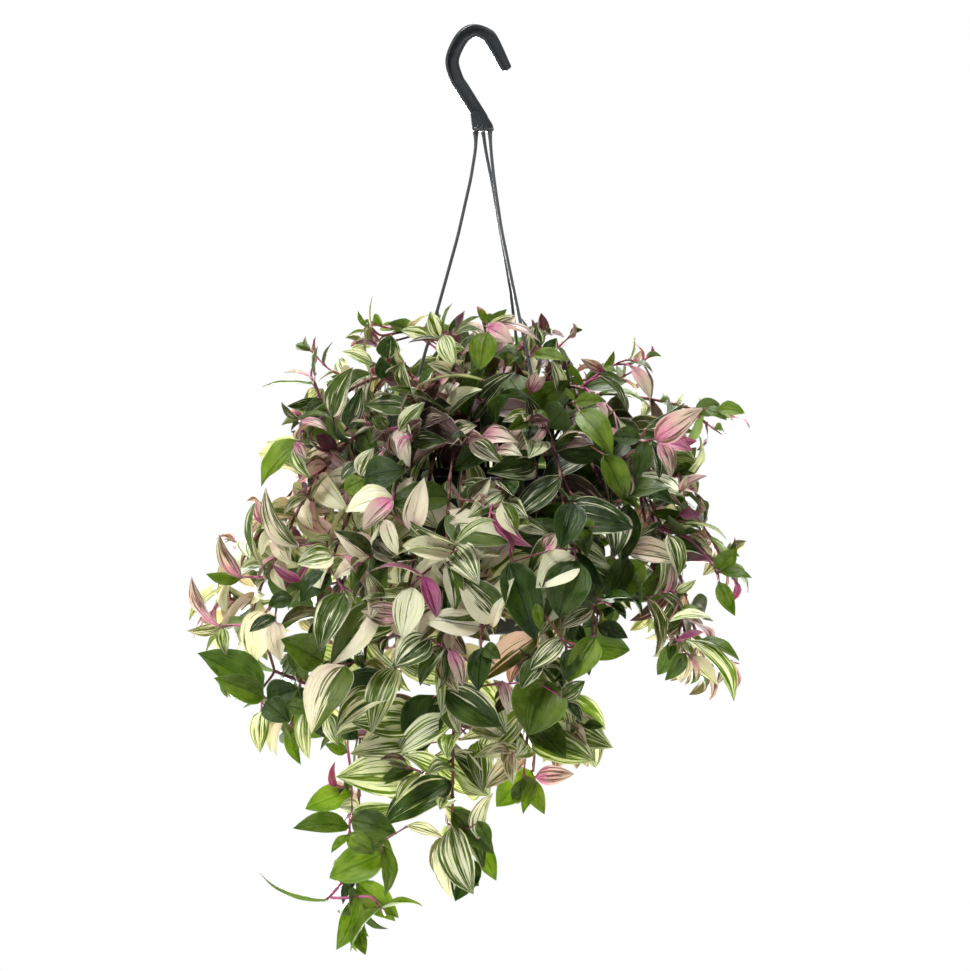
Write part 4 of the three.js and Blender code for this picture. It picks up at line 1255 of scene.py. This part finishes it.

# Parts of the view where leaves of certain looks gather: a pixel, half widths across and up, and the looks.
# The dark looks massed in the middle of the mound, at 470, 430 and 555, 450 and 570, 590, are partly the
# leaves' own deep green and partly painted shade between the leaves there. They count for leaves nearer than
# a depth, and for most of those.
ZONES = (
    (375, 395, 85, 75, ("lined", "lined", "striped", "green", "pink", "plum", "dark")),
    (480, 335, 90, 40, ("green", "plum", "lined", "striped", "pink")),
    # This row and the next are partly painted shade: dark looks massed in the middle of the mound.
    (470, 430, 70, 60, ("lined", "dark", "dark", "plum", "plum", "pink")),
    (555, 450, 70, 50, ("dark", "dark", "lined", "plum", "plum")),
    (600, 400, 60, 80, ("green", "pink", "plum", "lined", "dark")),
    (700, 430, 60, 60, ("fresh", "striped", "pink", "green")),
    (615, 480, 50, 60, ("green", "plum", "dark", "lined")),
    (220, 600, 60, 60, ("cream", "striped", "pink")),
    (280, 520, 50, 70, ("striped", "pale", "cream", "pink")),
    (390, 530, 90, 60, ("half", "striped", "cream", "green")),
    (470, 600, 105, 60, ("cream", "half", "half", "striped")),
    # Its two dark looks are partly painted shade in the middle of the mound.
    (570, 590, 80, 75, ("dark", "dark", "green", "striped")),
    (235, 690, 60, 50, ("green", "green", "fresh")),
    (305, 690, 55, 65, ("dark", "green", "pale", "half")),
    (330, 610, 60, 50, ("green", "striped", "dark", "lined")),
    (410, 745, 110, 90, ("pale", "pale", "striped", "lined")),
    (565, 735, 85, 60, ("pale", "green", "pale", "striped")),
    (345, 885, 85, 105, ("fresh", "green", "green")),
    (470, 860, 60, 80, ("pale", "green", "striped")),
    (690, 600, 80, 90, ("striped", "lined", "green", "pink")),
)
ZONE_DEPTH = 30.0
ZONE_HOLD = 0.85


def zone_looks(leaf):
    """The looks of the part of the view that a leaf near the viewer lies in."""
    middle = leaf.seat + leaf.ahead * leaf.size / 2 + POT_SHIFT
    if middle[1] > ZONE_DEPTH:
        return None
    across, down = seen_at(middle)
    for x, y, half_wide, half_high, looks in ZONES:
        if ((across - x) / half_wide) ** 2 + ((down - y) / half_high) ** 2 < 1:
            return looks
    return None


def leaf_look(branch, leaf, draw):
    """The paint of a leaf: its own look where it has one, or one of its zone's or of its stem's."""
    options = MIXTURES[branch.kind]
    zone = zone_looks(leaf)
    if leaf.look:
        options = (leaf.look,)
    elif zone and draw() < ZONE_HOLD:
        options = zone
    name = options[int(draw() * len(options))]
    creams, leans, pinks, tones = LOOKS[name]
    cream = between(draw, *creams)
    lean = between(draw, *leans)
    if draw() < 0.5:
        lean = 1 - lean
    pink = between(draw, *pinks)
    if cream > 0:
        pink = min(1, pink + YOUNG_PINK * leaf.young * draw())
    tone = between(draw, *tones)
    young = YOUNG_LOOKS.get(name, leaf.young)
    return SimpleNamespace(pattern=(cream, lean, pink), growth=(young, tone, draw()))


def dress_stem(stem, materials):
    """One object for a stem with its shoots, sheaths and leaves."""
    draw = draws_from(PAINT_SEED, stem.index)
    surface = Surface()
    for branch in stem.branches:
        stem_skin(surface, branch, draw())
        for leaf in branch.leaves:
            look = leaf_look(branch, leaf, draw)
            sheath(surface, leaf, branch, look)
            fine_blade(surface, leaf, branch, draw, look)
    made = surface.piece(stem.name.replace("leafy_stem", "foliage"), materials, POT_SHIFT)
    stand_for(made, stem.name)


# Pot, soil and hanger.

def revolved(profile, around):
    """Rings of a profile of radius and height pairs about the pot's axis."""
    ring = np.column_stack([*circle(around), np.zeros(around)])
    return np.array([ring * radius + UP * height for radius, height in profile]) + POT_SHIFT


def wall_radius(height):
    """The radius of the pot's inner wall at a height from its rim."""
    floor_radius = POT_BASE_RADIUS - POT_WALL
    return RIM_INNER_RADIUS + (floor_radius - RIM_INNER_RADIUS) * -height / POT_HEIGHT


def outer_radius(height):
    """The radius of its outer wall there."""
    slope = (RIM_INNER_RADIUS + POT_WALL - POT_BASE_RADIUS) / (POT_HEIGHT - POT_WALL)
    return POT_BASE_RADIUS + slope * (height + POT_HEIGHT)


def pot_profile(floor):
    """Radii and heights out along the base, up the outer wall, over the rim and down inside."""
    radii = {"neck": RIM_INNER_RADIUS + POT_WALL, "lip": RIM_RADIUS - POT_WALL, "rim": RIM_RADIUS,
             "mouth": RIM_INNER_RADIUS}
    profile = [(0.5, -POT_HEIGHT + 0.8)]
    profile += [(POT_BASE_RADIUS + more, height - POT_HEIGHT) for more, height in POT_FOOT]
    profile += [(outer_radius(height), height) for height in np.linspace(-POT_HEIGHT + 3, -40, 9)]
    profile += [(outer_radius(height) + out, height) for height, out in POT_RIDGE]
    profile += [(radii[name] + more, height) for name, more, height in POT_RIM]
    profile += [(wall_radius(height), height) for height in np.linspace(-8, floor + 2, 9)]
    return profile + [(wall_radius(floor) - 1.2, floor), (0.5, floor)]


def add_post(surface, out, angle, heights, radius):
    """A round post, upright between two heights, for a hole."""
    upright(surface, polar(out, angle) + POT_SHIFT, [(height, radius) for height in heights], 24)


def cut_away(made, cutter):
    """Cuts one object out of another and drops the cutter."""
    modifier = made.modifiers.new("holes", "BOOLEAN")
    modifier.operation = "DIFFERENCE"
    modifier.solver = "EXACT"
    modifier.object = cutter
    bpy.context.view_layer.update()
    evaluated = made.evaluated_get(bpy.context.evaluated_depsgraph_get())
    mesh = bpy.data.meshes.new_from_object(evaluated)
    made.modifiers.clear()
    made.data = mesh
    bpy.data.objects.remove(cutter)


def make_pot(material):
    """The turned pot, with its drain holes and the holes of the clips."""
    floor = -POT_HEIGHT + POT_WALL
    surface = Surface()
    skin_over(surface, revolved(pot_profile(floor), POT_AROUND))
    pot = surface.piece("flowerpot", [material])
    holes = Surface()
    for i in range(DRAIN_COUNT):
        angle = 360 * (i + 0.5) / DRAIN_COUNT
        add_post(holes, DRAIN_CIRCLE, angle, (-POT_HEIGHT - 2, floor + 2), DRAIN_RADIUS)
    for angle in CLIP_ANGLES.values():
        add_post(holes, CLIP_CIRCLE, angle, (-POT_WALL - 2, 2), CLIP_HOLE_RADIUS)
    cut_away(pot, holes.piece("pot_holes", []))
    pot.data.set_sharp_from_angle(angle=math.radians(40))
    stand_for(pot, "pot")


def make_soil(material):
    """The plug of peat, its top raised into crumbs."""
    floor = -POT_HEIGHT + POT_WALL + 0.3
    edge = wall_radius(-SOIL_EDGE_DEPTH) - SOIL_GAP
    profile = [(0.5, floor), (wall_radius(floor) - SOIL_GAP, floor), (edge, -SOIL_EDGE_DEPTH)]
    profile += [(radius, soil_height(radius)) for radius in np.linspace(edge - 1.5, 0.5, 46)]
    rings = revolved(profile, SOIL_AROUND)
    for point in rings[3:].reshape(-1, 3):
        x, y, _ = point
        crumbs = sum(noise.noise(Vector((x * close, y * close, layer))) * height
                     for close, layer, height in PEAT_CRUMBS)
        point[2] += crumbs * min(1, (edge - math.hypot(x - POT_AXIS_X, y)) / PEAT_CALM)
    surface = Surface()
    skin_over(surface, rings)
    stand_for(surface.piece("peat", [material]), "potting_soil")


def rounded(corners, radius, steps=3):
    """A closed outline with its corners rounded."""
    corners = np.array(corners, float)
    points = []
    for last, corner, following in zip(np.roll(corners, 1, axis=0), corners, np.roll(corners, -1, axis=0)):
        before, after = unit(last - corner), unit(following - corner)
        for share in np.arange(steps) / (steps - 1):
            a, b = corner + before * radius * (1 - share), corner + after * radius * share
            points.append(a * (1 - share) + b * share)
    return np.array(points)


def hook_section(width):
    """An H: two rails along the hook's edges, bevelled outside, with a thin web between them."""
    edge, face, web = width / 2, HOOK_DEPTH / 2, HOOK_WEB / 2
    inner = edge - HOOK_RAIL
    top, side = edge - HOOK_BEVEL, face - HOOK_BEVEL
    half = [(edge, side), (top, face), (inner, face), (inner, web),
            (-inner, web), (-inner, face), (-top, face), (-edge, side)]
    return rounded(half + [(-u, -v) for u, v in half], 0.5)


def smooth_through(points, steps):
    """Points along the smooth curve that runs through the given ones."""
    points = np.asarray(points, float)
    padded = [2 * points[0] - points[1], *points, 2 * points[-1] - points[-2]]
    curve = []
    for a, b, c, d in zip(padded, padded[1:], padded[2:], padded[3:]):
        for t in np.arange(steps) / steps:
            curve.append(b + (c - a) * t / 2 + (a - 2.5 * b + 2 * c - d / 2) * t ** 2
                         + (1.5 * (b - c) + (d - a) / 2) * t ** 3)
    return np.array(curve + [points[-1]])


def make_hook(surface):
    line = smooth_through([(x, 0, z) for x, z in HOOK_LINE], 12)
    widened = np.clip(np.linalg.norm(line - line[0], axis=1) / HOOK_TAPER, 0, 1)
    widths = HOOK_WIDTH["tip"] + (HOOK_WIDTH["crown"] - HOOK_WIDTH["tip"]) * widened
    runs = runs_along(line)
    rings = []
    for point, run, width in zip(line, runs, widths):
        section = hook_section(width)
        rings.append(point + section[:, :1] * np.cross(AWAY, run) + section[:, 1:] * AWAY)
    tip = [line[0] - runs[0] * ahead + (rings[0] - line[0]) * share for ahead, share in HOOK_TIP_ROUNDING]
    skin_over(surface, tip + rings)


def make_foot(surface):
    """The foot that the shank and the strands' roots run into, with a bead and studs."""
    square = np.stack([np.sign(way) * np.abs(way) ** FOOT_SQUARENESS for way in circle(FOOT_AROUND)], axis=1)
    table = np.array(FOOT)
    top, bottom = table[0, 0], table[-1, 0]
    bead = bottom + FOOT_BEAD
    rows = [(height, FOOT_INSET) for height in np.linspace(top, bead, 12)]
    rows += [(bead - 0.3, 0.0), (bottom + 0.8, 0.0), (bottom + 0.2, 0.3), (bottom, 1.0)]
    rings = []
    for height, inset in rows:
        middle, wide, deep = (np.interp(-height, -table[:, 0], table[:, i]) for i in (1, 2, 3))
        level = square * (wide - inset, deep - inset) + (middle, 0.0)
        rings.append(np.column_stack([level, np.full(FOOT_AROUND, height)]))
    skin_over(surface, rings[::-1])
    for side in (-1, 1):
        for x in FOOT_STUDS:
            add_stud(surface, np.array([x, side * STUD_OUT, bead + 1.2]), AWAY * side)


def add_stud(surface, centre, outward):
    line = np.array([centre - outward * 0.6, centre + outward * 0.3, centre + outward * 0.6])
    skin_over(surface, tube_rings(line, UP, [STUD_RADIUS, STUD_RADIUS, STUD_RADIUS * 0.5], 12))


def make_strand(surface, name):
    """A flared root under the foot, the long round run, and a clip with its collar at the rim."""
    outward = polar(1, CLIP_ANGLES[name])
    hole = outward * CLIP_CIRCLE + POT_SHIFT
    under = hole - UP * POT_WALL
    line = smoothed(resampled([*STRANDS[name], hole + UP * 5, under], 2.5), 6)
    flare = np.exp(-((np.linalg.norm(line - line[0], axis=1) / STRAND_FLARE) ** 1.6))
    radii = STRAND_RADIUS + (np.array(STRAND_ROOT) - STRAND_RADIUS) * flare[:, None]
    skin_over(surface, tube_rings(line, outward, radii, STRAND_AROUND), skin=1)
    upright(surface, under, CLIP_BARB, STRAND_AROUND, outward, skin=1)
    upright(surface, hole, CLIP_COLLAR, STRAND_AROUND, outward, skin=1)


def make_hanger(materials):
    surface = Surface()
    make_hook(surface)
    make_foot(surface)
    for name in STRANDS:
        make_strand(surface, name)
    hanger = surface.piece("hook_and_strands", materials)
    hanger.data.set_sharp_from_angle(angle=math.radians(50))
    stand_for(hanger, "hanger")


# Materials.

# How much of each colour shines through a leaf, for its green and its pale parts.
GREEN_GLOW = (3.4, 3.1, 2.6, 1.0)
PALE_GLOW = (1.6, 1.65, 1.55, 1.0)


def srgb(red, green, blue):
    """A colour given in screen values from 0 to 255."""
    def linear(value):
        value /= 255
        return value / 12.92 if value <= 0.04045 else ((value + 0.055) / 1.055) ** 2.4

    return linear(red), linear(green), linear(blue), 1.0


class Paint:
    """The nodes of a material or of the world, put in one call at a time."""

    def __init__(self, owner):
        self.owner = owner
        owner.use_nodes = True
        self.tree = owner.node_tree
        self.tree.nodes.clear()

    def put(self, kind, values=None, **settings):
        node = self.tree.nodes.new(kind)
        for key, value in settings.items():
            setattr(node, key, value)
        for socket, value in (values or {}).items():
            if isinstance(value, bpy.types.NodeSocket):
                self.tree.links.new(value, node.inputs[socket])
            else:
                node.inputs[socket].default_value = value
        return node

    def maths(self, operation, *values):
        return self.put("ShaderNodeMath", dict(enumerate(values)), operation=operation).outputs[0]

    def times(self, value, factor, more=None):
        """A product, with more added where it is given."""
        if more is None:
            return self.maths("MULTIPLY", value, factor)
        return self.maths("MULTIPLY_ADD", value, factor, more)

    def step(self, value, low, high, to_low=0.0, to_high=1.0):
        """A smooth step of a value from low to high."""
        return self.put("ShaderNodeMapRange", {0: value, 1: low, 2: high, 3: to_low, 4: to_high},
                        interpolation_type="SMOOTHSTEP").outputs[0]

    def mix(self, share, a, b, blend="MIX"):
        node = self.put("ShaderNodeMix", {0: share, 6: a, 7: b}, data_type="RGBA", blend_type=blend)
        return node.outputs[2]

    def vector(self, x, y, z):
        return self.put("ShaderNodeCombineXYZ", {0: x, 1: y, 2: z}).outputs[0]

    def parts(self, vector):
        return tuple(self.put("ShaderNodeSeparateXYZ", {0: vector}).outputs)

    def attribute(self, name):
        return self.parts(self.put("ShaderNodeAttribute", attribute_name=name).outputs["Vector"])

    def noise(self, vector, scale, detail=2.0, roughness=0.5, distortion=0.0):
        return self.put("ShaderNodeTexNoise", {"Vector": vector, "Scale": scale, "Detail": detail,
                                               "Roughness": roughness, "Distortion": distortion}).outputs[0]

    def place(self, kind="Object"):
        """The place in the object, in metres, or another kind of place."""
        return self.put("ShaderNodeTexCoord").outputs[kind]

    def bump(self, height, strength, distance):
        values = {"Height": height, "Strength": strength, "Distance": distance}
        return self.put("ShaderNodeBump", values).outputs[0]

    def body(self, colour, roughness, specular=0.5, **more):
        """A surface that light doesn't pass."""
        return self.put("ShaderNodeBsdfPrincipled", {"Base Color": colour, "Roughness": roughness,
                                                     "Specular IOR Level": specular, **more}).outputs[0]

    def finish(self, shader, output="ShaderNodeOutputMaterial"):
        self.put(output, {0: shader})
        return self.owner


def new_paint(name):
    return Paint(bpy.data.materials.new(name))


def streaks(paint, leaf, close, along, detail, roughness):
    """Noise that runs along a leaf and differs from leaf to leaf, with how close it is each way."""
    across = paint.times(leaf.across, close, leaf.shift)
    place = paint.vector(across, paint.times(leaf.along, along), leaf.shift)
    return paint.noise(place, 2.0, detail, roughness)


def leaf_pattern(paint):
    """What both faces of a leaf share: places on the blade, its paint values and the cream stripes."""
    right, along, _ = paint.parts(paint.put("ShaderNodeUVMap", uv_map="across_along").outputs[0])
    cream, lean, pink = paint.attribute("pattern")
    youth, tone, seed = paint.attribute("growth")
    leaf = SimpleNamespace(across=paint.times(right, 2.0, -1.0), along=along, cream=cream, pink=pink,
                           youth=youth, tone=tone, seed=seed, shift=paint.times(seed, 61.0))
    bands = streaks(paint, leaf, 3.3, 0.55, 2.5, 0.62)
    leaf.lines = streaks(paint, leaf, 14.0, 0.8, 1.0, 0.5)
    leaf.blotch = streaks(paint, leaf, 0.8, 1.6, 2.0, 0.6)
    leaf.rib = paint.step(paint.maths("ABSOLUTE", leaf.across), 0.02, 0.1, 1.0, 0.0)
    level = paint.times(paint.maths("SUBTRACT", bands, 0.5), 2.6, paint.maths("SUBTRACT", cream, 0.5))
    level = paint.times(paint.maths("SUBTRACT", leaf.lines, 0.5), 0.55, level)
    level = paint.times(paint.times(paint.times(lean, 2.0, -1.0), leaf.across), 1.1, level)
    leaf.stripes = paint.step(paint.times(leaf.rib, -0.22, level), -0.05, 0.06)
    return leaf


def leaf_finish(paint, leaf, colour, roughness, furrows, thin):
    """A leaf's own shine, what shines through it, and its veins, midrib and fine cellular grain."""
    veins = streaks(paint, leaf, 9.0, 0.7, 1.0, 0.4)
    grain = paint.noise(paint.place(), 1400.0, 2.0, 0.6)
    height = paint.times(grain, 0.3, paint.times(leaf.rib, -0.9, veins))
    normal = paint.bump(height, furrows, 0.0012)
    glow = paint.mix(1.0, colour, paint.mix(leaf.stripes, GREEN_GLOW, PALE_GLOW), "MULTIPLY")
    light = paint.put("ShaderNodeBsdfTranslucent", {"Color": glow, "Normal": normal}).outputs[0]
    body = paint.body(colour, roughness, Normal=normal)
    return paint.finish(paint.put("ShaderNodeMixShader", {0: thin, 1: body, 2: light}).outputs[0])


def leaf_upper():
    paint = new_paint("leaf_upper_face")
    leaf = leaf_pattern(paint)
    deep = paint.mix(leaf.tone, srgb(26, 50, 8), srgb(90, 116, 20))
    fresh = paint.mix(leaf.tone, srgb(48, 76, 16), srgb(126, 144, 52))
    green = paint.mix(paint.step(leaf.blotch, 0.3, 0.75), deep, fresh)
    midrib = paint.mix(leaf.tone, srgb(18, 34, 18), srgb(58, 96, 30))
    green = paint.mix(paint.times(leaf.rib, 0.5), green, midrib)
    blush = paint.step(paint.times(leaf.blotch, 0.7, leaf.along), 0.3, 1.1, 1.0, 0.12)
    pale = paint.mix(paint.step(leaf.lines, 0.35, 0.7), srgb(250, 247, 226), srgb(230, 236, 192))
    pale = paint.mix(paint.times(leaf.pink, blush), pale, srgb(240, 142, 188))
    colour = paint.mix(leaf.stripes, green, pale)
    young = paint.times(leaf.youth, leaf.pink)
    colour = paint.mix(paint.times(young, 0.5), colour, srgb(168, 44, 128))
    # A thin pale line along the margin: partly the leaf's own pale edge, partly a painted highlight where the
    # edge catches the light.
    margin = paint.step(paint.maths("ABSOLUTE", leaf.across), 0.93, 1.0)
    edge = paint.mix(paint.step(leaf.cream, -0.1, 0.2), srgb(110, 146, 70), srgb(226, 222, 200))
    colour = paint.mix(paint.times(margin, 0.6), colour, edge)
    return leaf_finish(paint, leaf, colour, paint.step(leaf.blotch, 0.3, 0.8, 0.24, 0.38), 0.85, 0.26)


def leaf_under():
    paint = new_paint("leaf_lower_face")
    leaf = leaf_pattern(paint)
    green = paint.mix(leaf.tone, srgb(84, 104, 60), srgb(132, 156, 84))
    purple = paint.mix(leaf.youth, srgb(104, 48, 76), srgb(176, 58, 132))
    often = paint.step(paint.maths("FRACT", paint.times(leaf.seed, 17.0)), 0.45, 0.8, 0.05, 1.0)
    violet = paint.times(paint.step(leaf.cream, -0.3, 0.1, 0.12, 1.0), often)
    violet = paint.times(violet, paint.step(leaf.blotch, 0.2, 0.7, 0.55, 1.0))
    violet = paint.times(violet, paint.step(leaf.tone, 0.5, 0.95, 1.0, 0.15))
    ground = paint.mix(violet, green, purple)
    pale = paint.mix(paint.times(violet, 0.7), srgb(236, 236, 196), srgb(216, 140, 190))
    colour = paint.mix(paint.times(leaf.stripes, 0.85), ground, pale)
    return leaf_finish(paint, leaf, colour, 0.45, 0.5, 0.3)


def stem_material():
    paint = new_paint("stem_skin")
    ring, clasp, _ = paint.attribute("pattern")
    age, _, seed = paint.attribute("growth")
    grain = paint.noise(paint.place(), 260.0, 3.0, 0.6)
    # Darker toward the root: partly the older stem's own colour, partly painted shade inside the mound.
    aged_and_shaded = paint.mix(grain, srgb(40, 22, 22), srgb(84, 36, 42))
    dull = paint.mix(grain, srgb(98, 44, 52), srgb(136, 84, 74))
    bright = paint.mix(grain, srgb(170, 54, 118), srgb(208, 110, 160))
    young = paint.mix(paint.step(seed, 0.35, 0.75), dull, bright)
    colour = paint.mix(paint.step(age, 0.2, 0.9), aged_and_shaded, young)
    colour = paint.mix(paint.times(ring, 0.5), colour, srgb(70, 22, 40))
    clasped = paint.mix(grain, srgb(134, 66, 84), srgb(172, 134, 112))
    colour = paint.mix(paint.times(clasp, 0.6), colour, clasped)
    return paint.finish(paint.body(colour, 0.38, 0.45, Normal=paint.bump(grain, 0.3, 0.0005)))


def peat_material():
    paint = new_paint("peat")
    place = paint.place()
    crumbs = paint.noise(place, 240.0, 5.0, 0.7)
    fibres = paint.noise(place, 900.0, 3.0, 0.7, 1.5)
    colour = paint.mix(crumbs, srgb(26, 18, 13), srgb(74, 52, 38))
    colour = paint.mix(paint.step(fibres, 0.6, 0.75), colour, srgb(112, 84, 60))
    normal = paint.bump(paint.times(fibres, 0.4, crumbs), 0.9, 0.002)
    return paint.finish(paint.body(colour, 0.95, 0.2, Normal=normal))


def plastic(name, dark, light, roughness, dust):
    """A moulded plastic with faint flow marks, a fine grain and a little dust."""
    paint = new_paint(name)
    place = paint.place()
    flow = paint.noise(place, 38.0, 4.0, 0.55)
    grain = paint.noise(place, 1500.0, 2.0, 0.6)
    specks = paint.noise(place, 420.0, 3.0, 0.7)
    colour = paint.mix(flow, srgb(*dark), srgb(*light))
    colour = paint.mix(paint.times(paint.step(specks, 0.58, 0.75), dust), colour, srgb(120, 116, 108))
    rough = paint.step(flow, 0.3, 0.7, roughness - 0.06, roughness + 0.08)
    normal = paint.bump(paint.times(flow, 0.5, grain), 0.1, 0.0003)
    return paint.finish(paint.body(colour, rough, 0.45, Normal=normal))


def floor_material():
    paint = new_paint("pale_floor")
    tone = paint.noise(paint.place(), 2.0, 3.0, 0.5)
    return paint.finish(paint.body(paint.mix(tone, srgb(226, 226, 223), srgb(233, 233, 231)), 0.85))


# Studio.

def make_camera():
    data = bpy.data.cameras.new("camera")
    data.sensor_width = SENSOR_WIDTH
    data.lens = SENSOR_WIDTH * CAMERA_DISTANCE / (max(IMAGE_WIDTH, IMAGE_HEIGHT) * MM_PER_PIXEL)
    data.clip_end = 30
    camera = bpy.data.objects.new("camera", data)
    bpy.context.scene.collection.objects.link(camera)
    camera.location = view_axes()[0] * MM
    camera.rotation_euler = (math.pi / 2 - math.radians(CAMERA_ELEVATION), 0, 0)
    bpy.context.scene.camera = camera


def area_light(name, place, watts, size):
    data = bpy.data.lights.new(name, "AREA")
    data.shape = "DISK"
    data.size = size
    data.energy = watts
    light = bpy.data.objects.new(name, data)
    bpy.context.scene.collection.objects.link(light)
    light.location = place
    light.rotation_euler = (Vector(LIT_PLACE) - Vector(place)).to_track_quat("-Z", "Y").to_euler()


def white_room():
    """A world that is white round the part and dimmer overhead, underfoot and behind the viewer."""
    paint = Paint(bpy.data.worlds.new("white_room"))
    _, ahead, height = paint.parts(paint.place("Generated"))
    band = paint.step(paint.maths("ABSOLUTE", height), *ROOM_BAND, 1.0, ROOM_DIM)
    front = paint.step(ahead, *ROOM_FRONT, 1.0, ROOM_FRONT_DIM)
    white = paint.put("ShaderNodeBackground", {0: (1, 1, 1, 1), 1: paint.times(band, front)}).outputs[0]
    bpy.context.scene.world = paint.finish(white, "ShaderNodeOutputWorld")


def make_studio():
    white_room()
    bpy.context.scene.view_settings.view_transform = "Standard"
    for light in LIGHTS:
        area_light(*light)
    corners = [(x * FLOOR_HALF, y * FLOOR_HALF, FLOOR_Z) for x, y in ((-1, -1), (1, -1), (1, 1), (-1, 1))]
    floor = Surface()
    floor.add(corners, [(0, 1, 2, 3)])
    floor.piece("floor", [floor_material()])


def build():
    stems = stem_rows()
    for stem in stems:
        find_stem(stem)
        find_leaves(stem)
    grow_foliage(stems)
    skins = [stem_material(), leaf_upper(), leaf_under()]
    for stem in stems:
        dress_stem(stem, skins)
    make_pot(plastic("pot_plastic_black", (19, 20, 22), (34, 36, 39), 0.42, 0.35))
    make_soil(peat_material())
    make_hanger([plastic("hook_plastic_charcoal", (40, 43, 46), (56, 60, 63), 0.34, 0.1),
                 plastic("strand_plastic_grey", (70, 73, 76), (88, 92, 95), 0.3, 0.05)])
    make_camera()
    make_studio()


build()
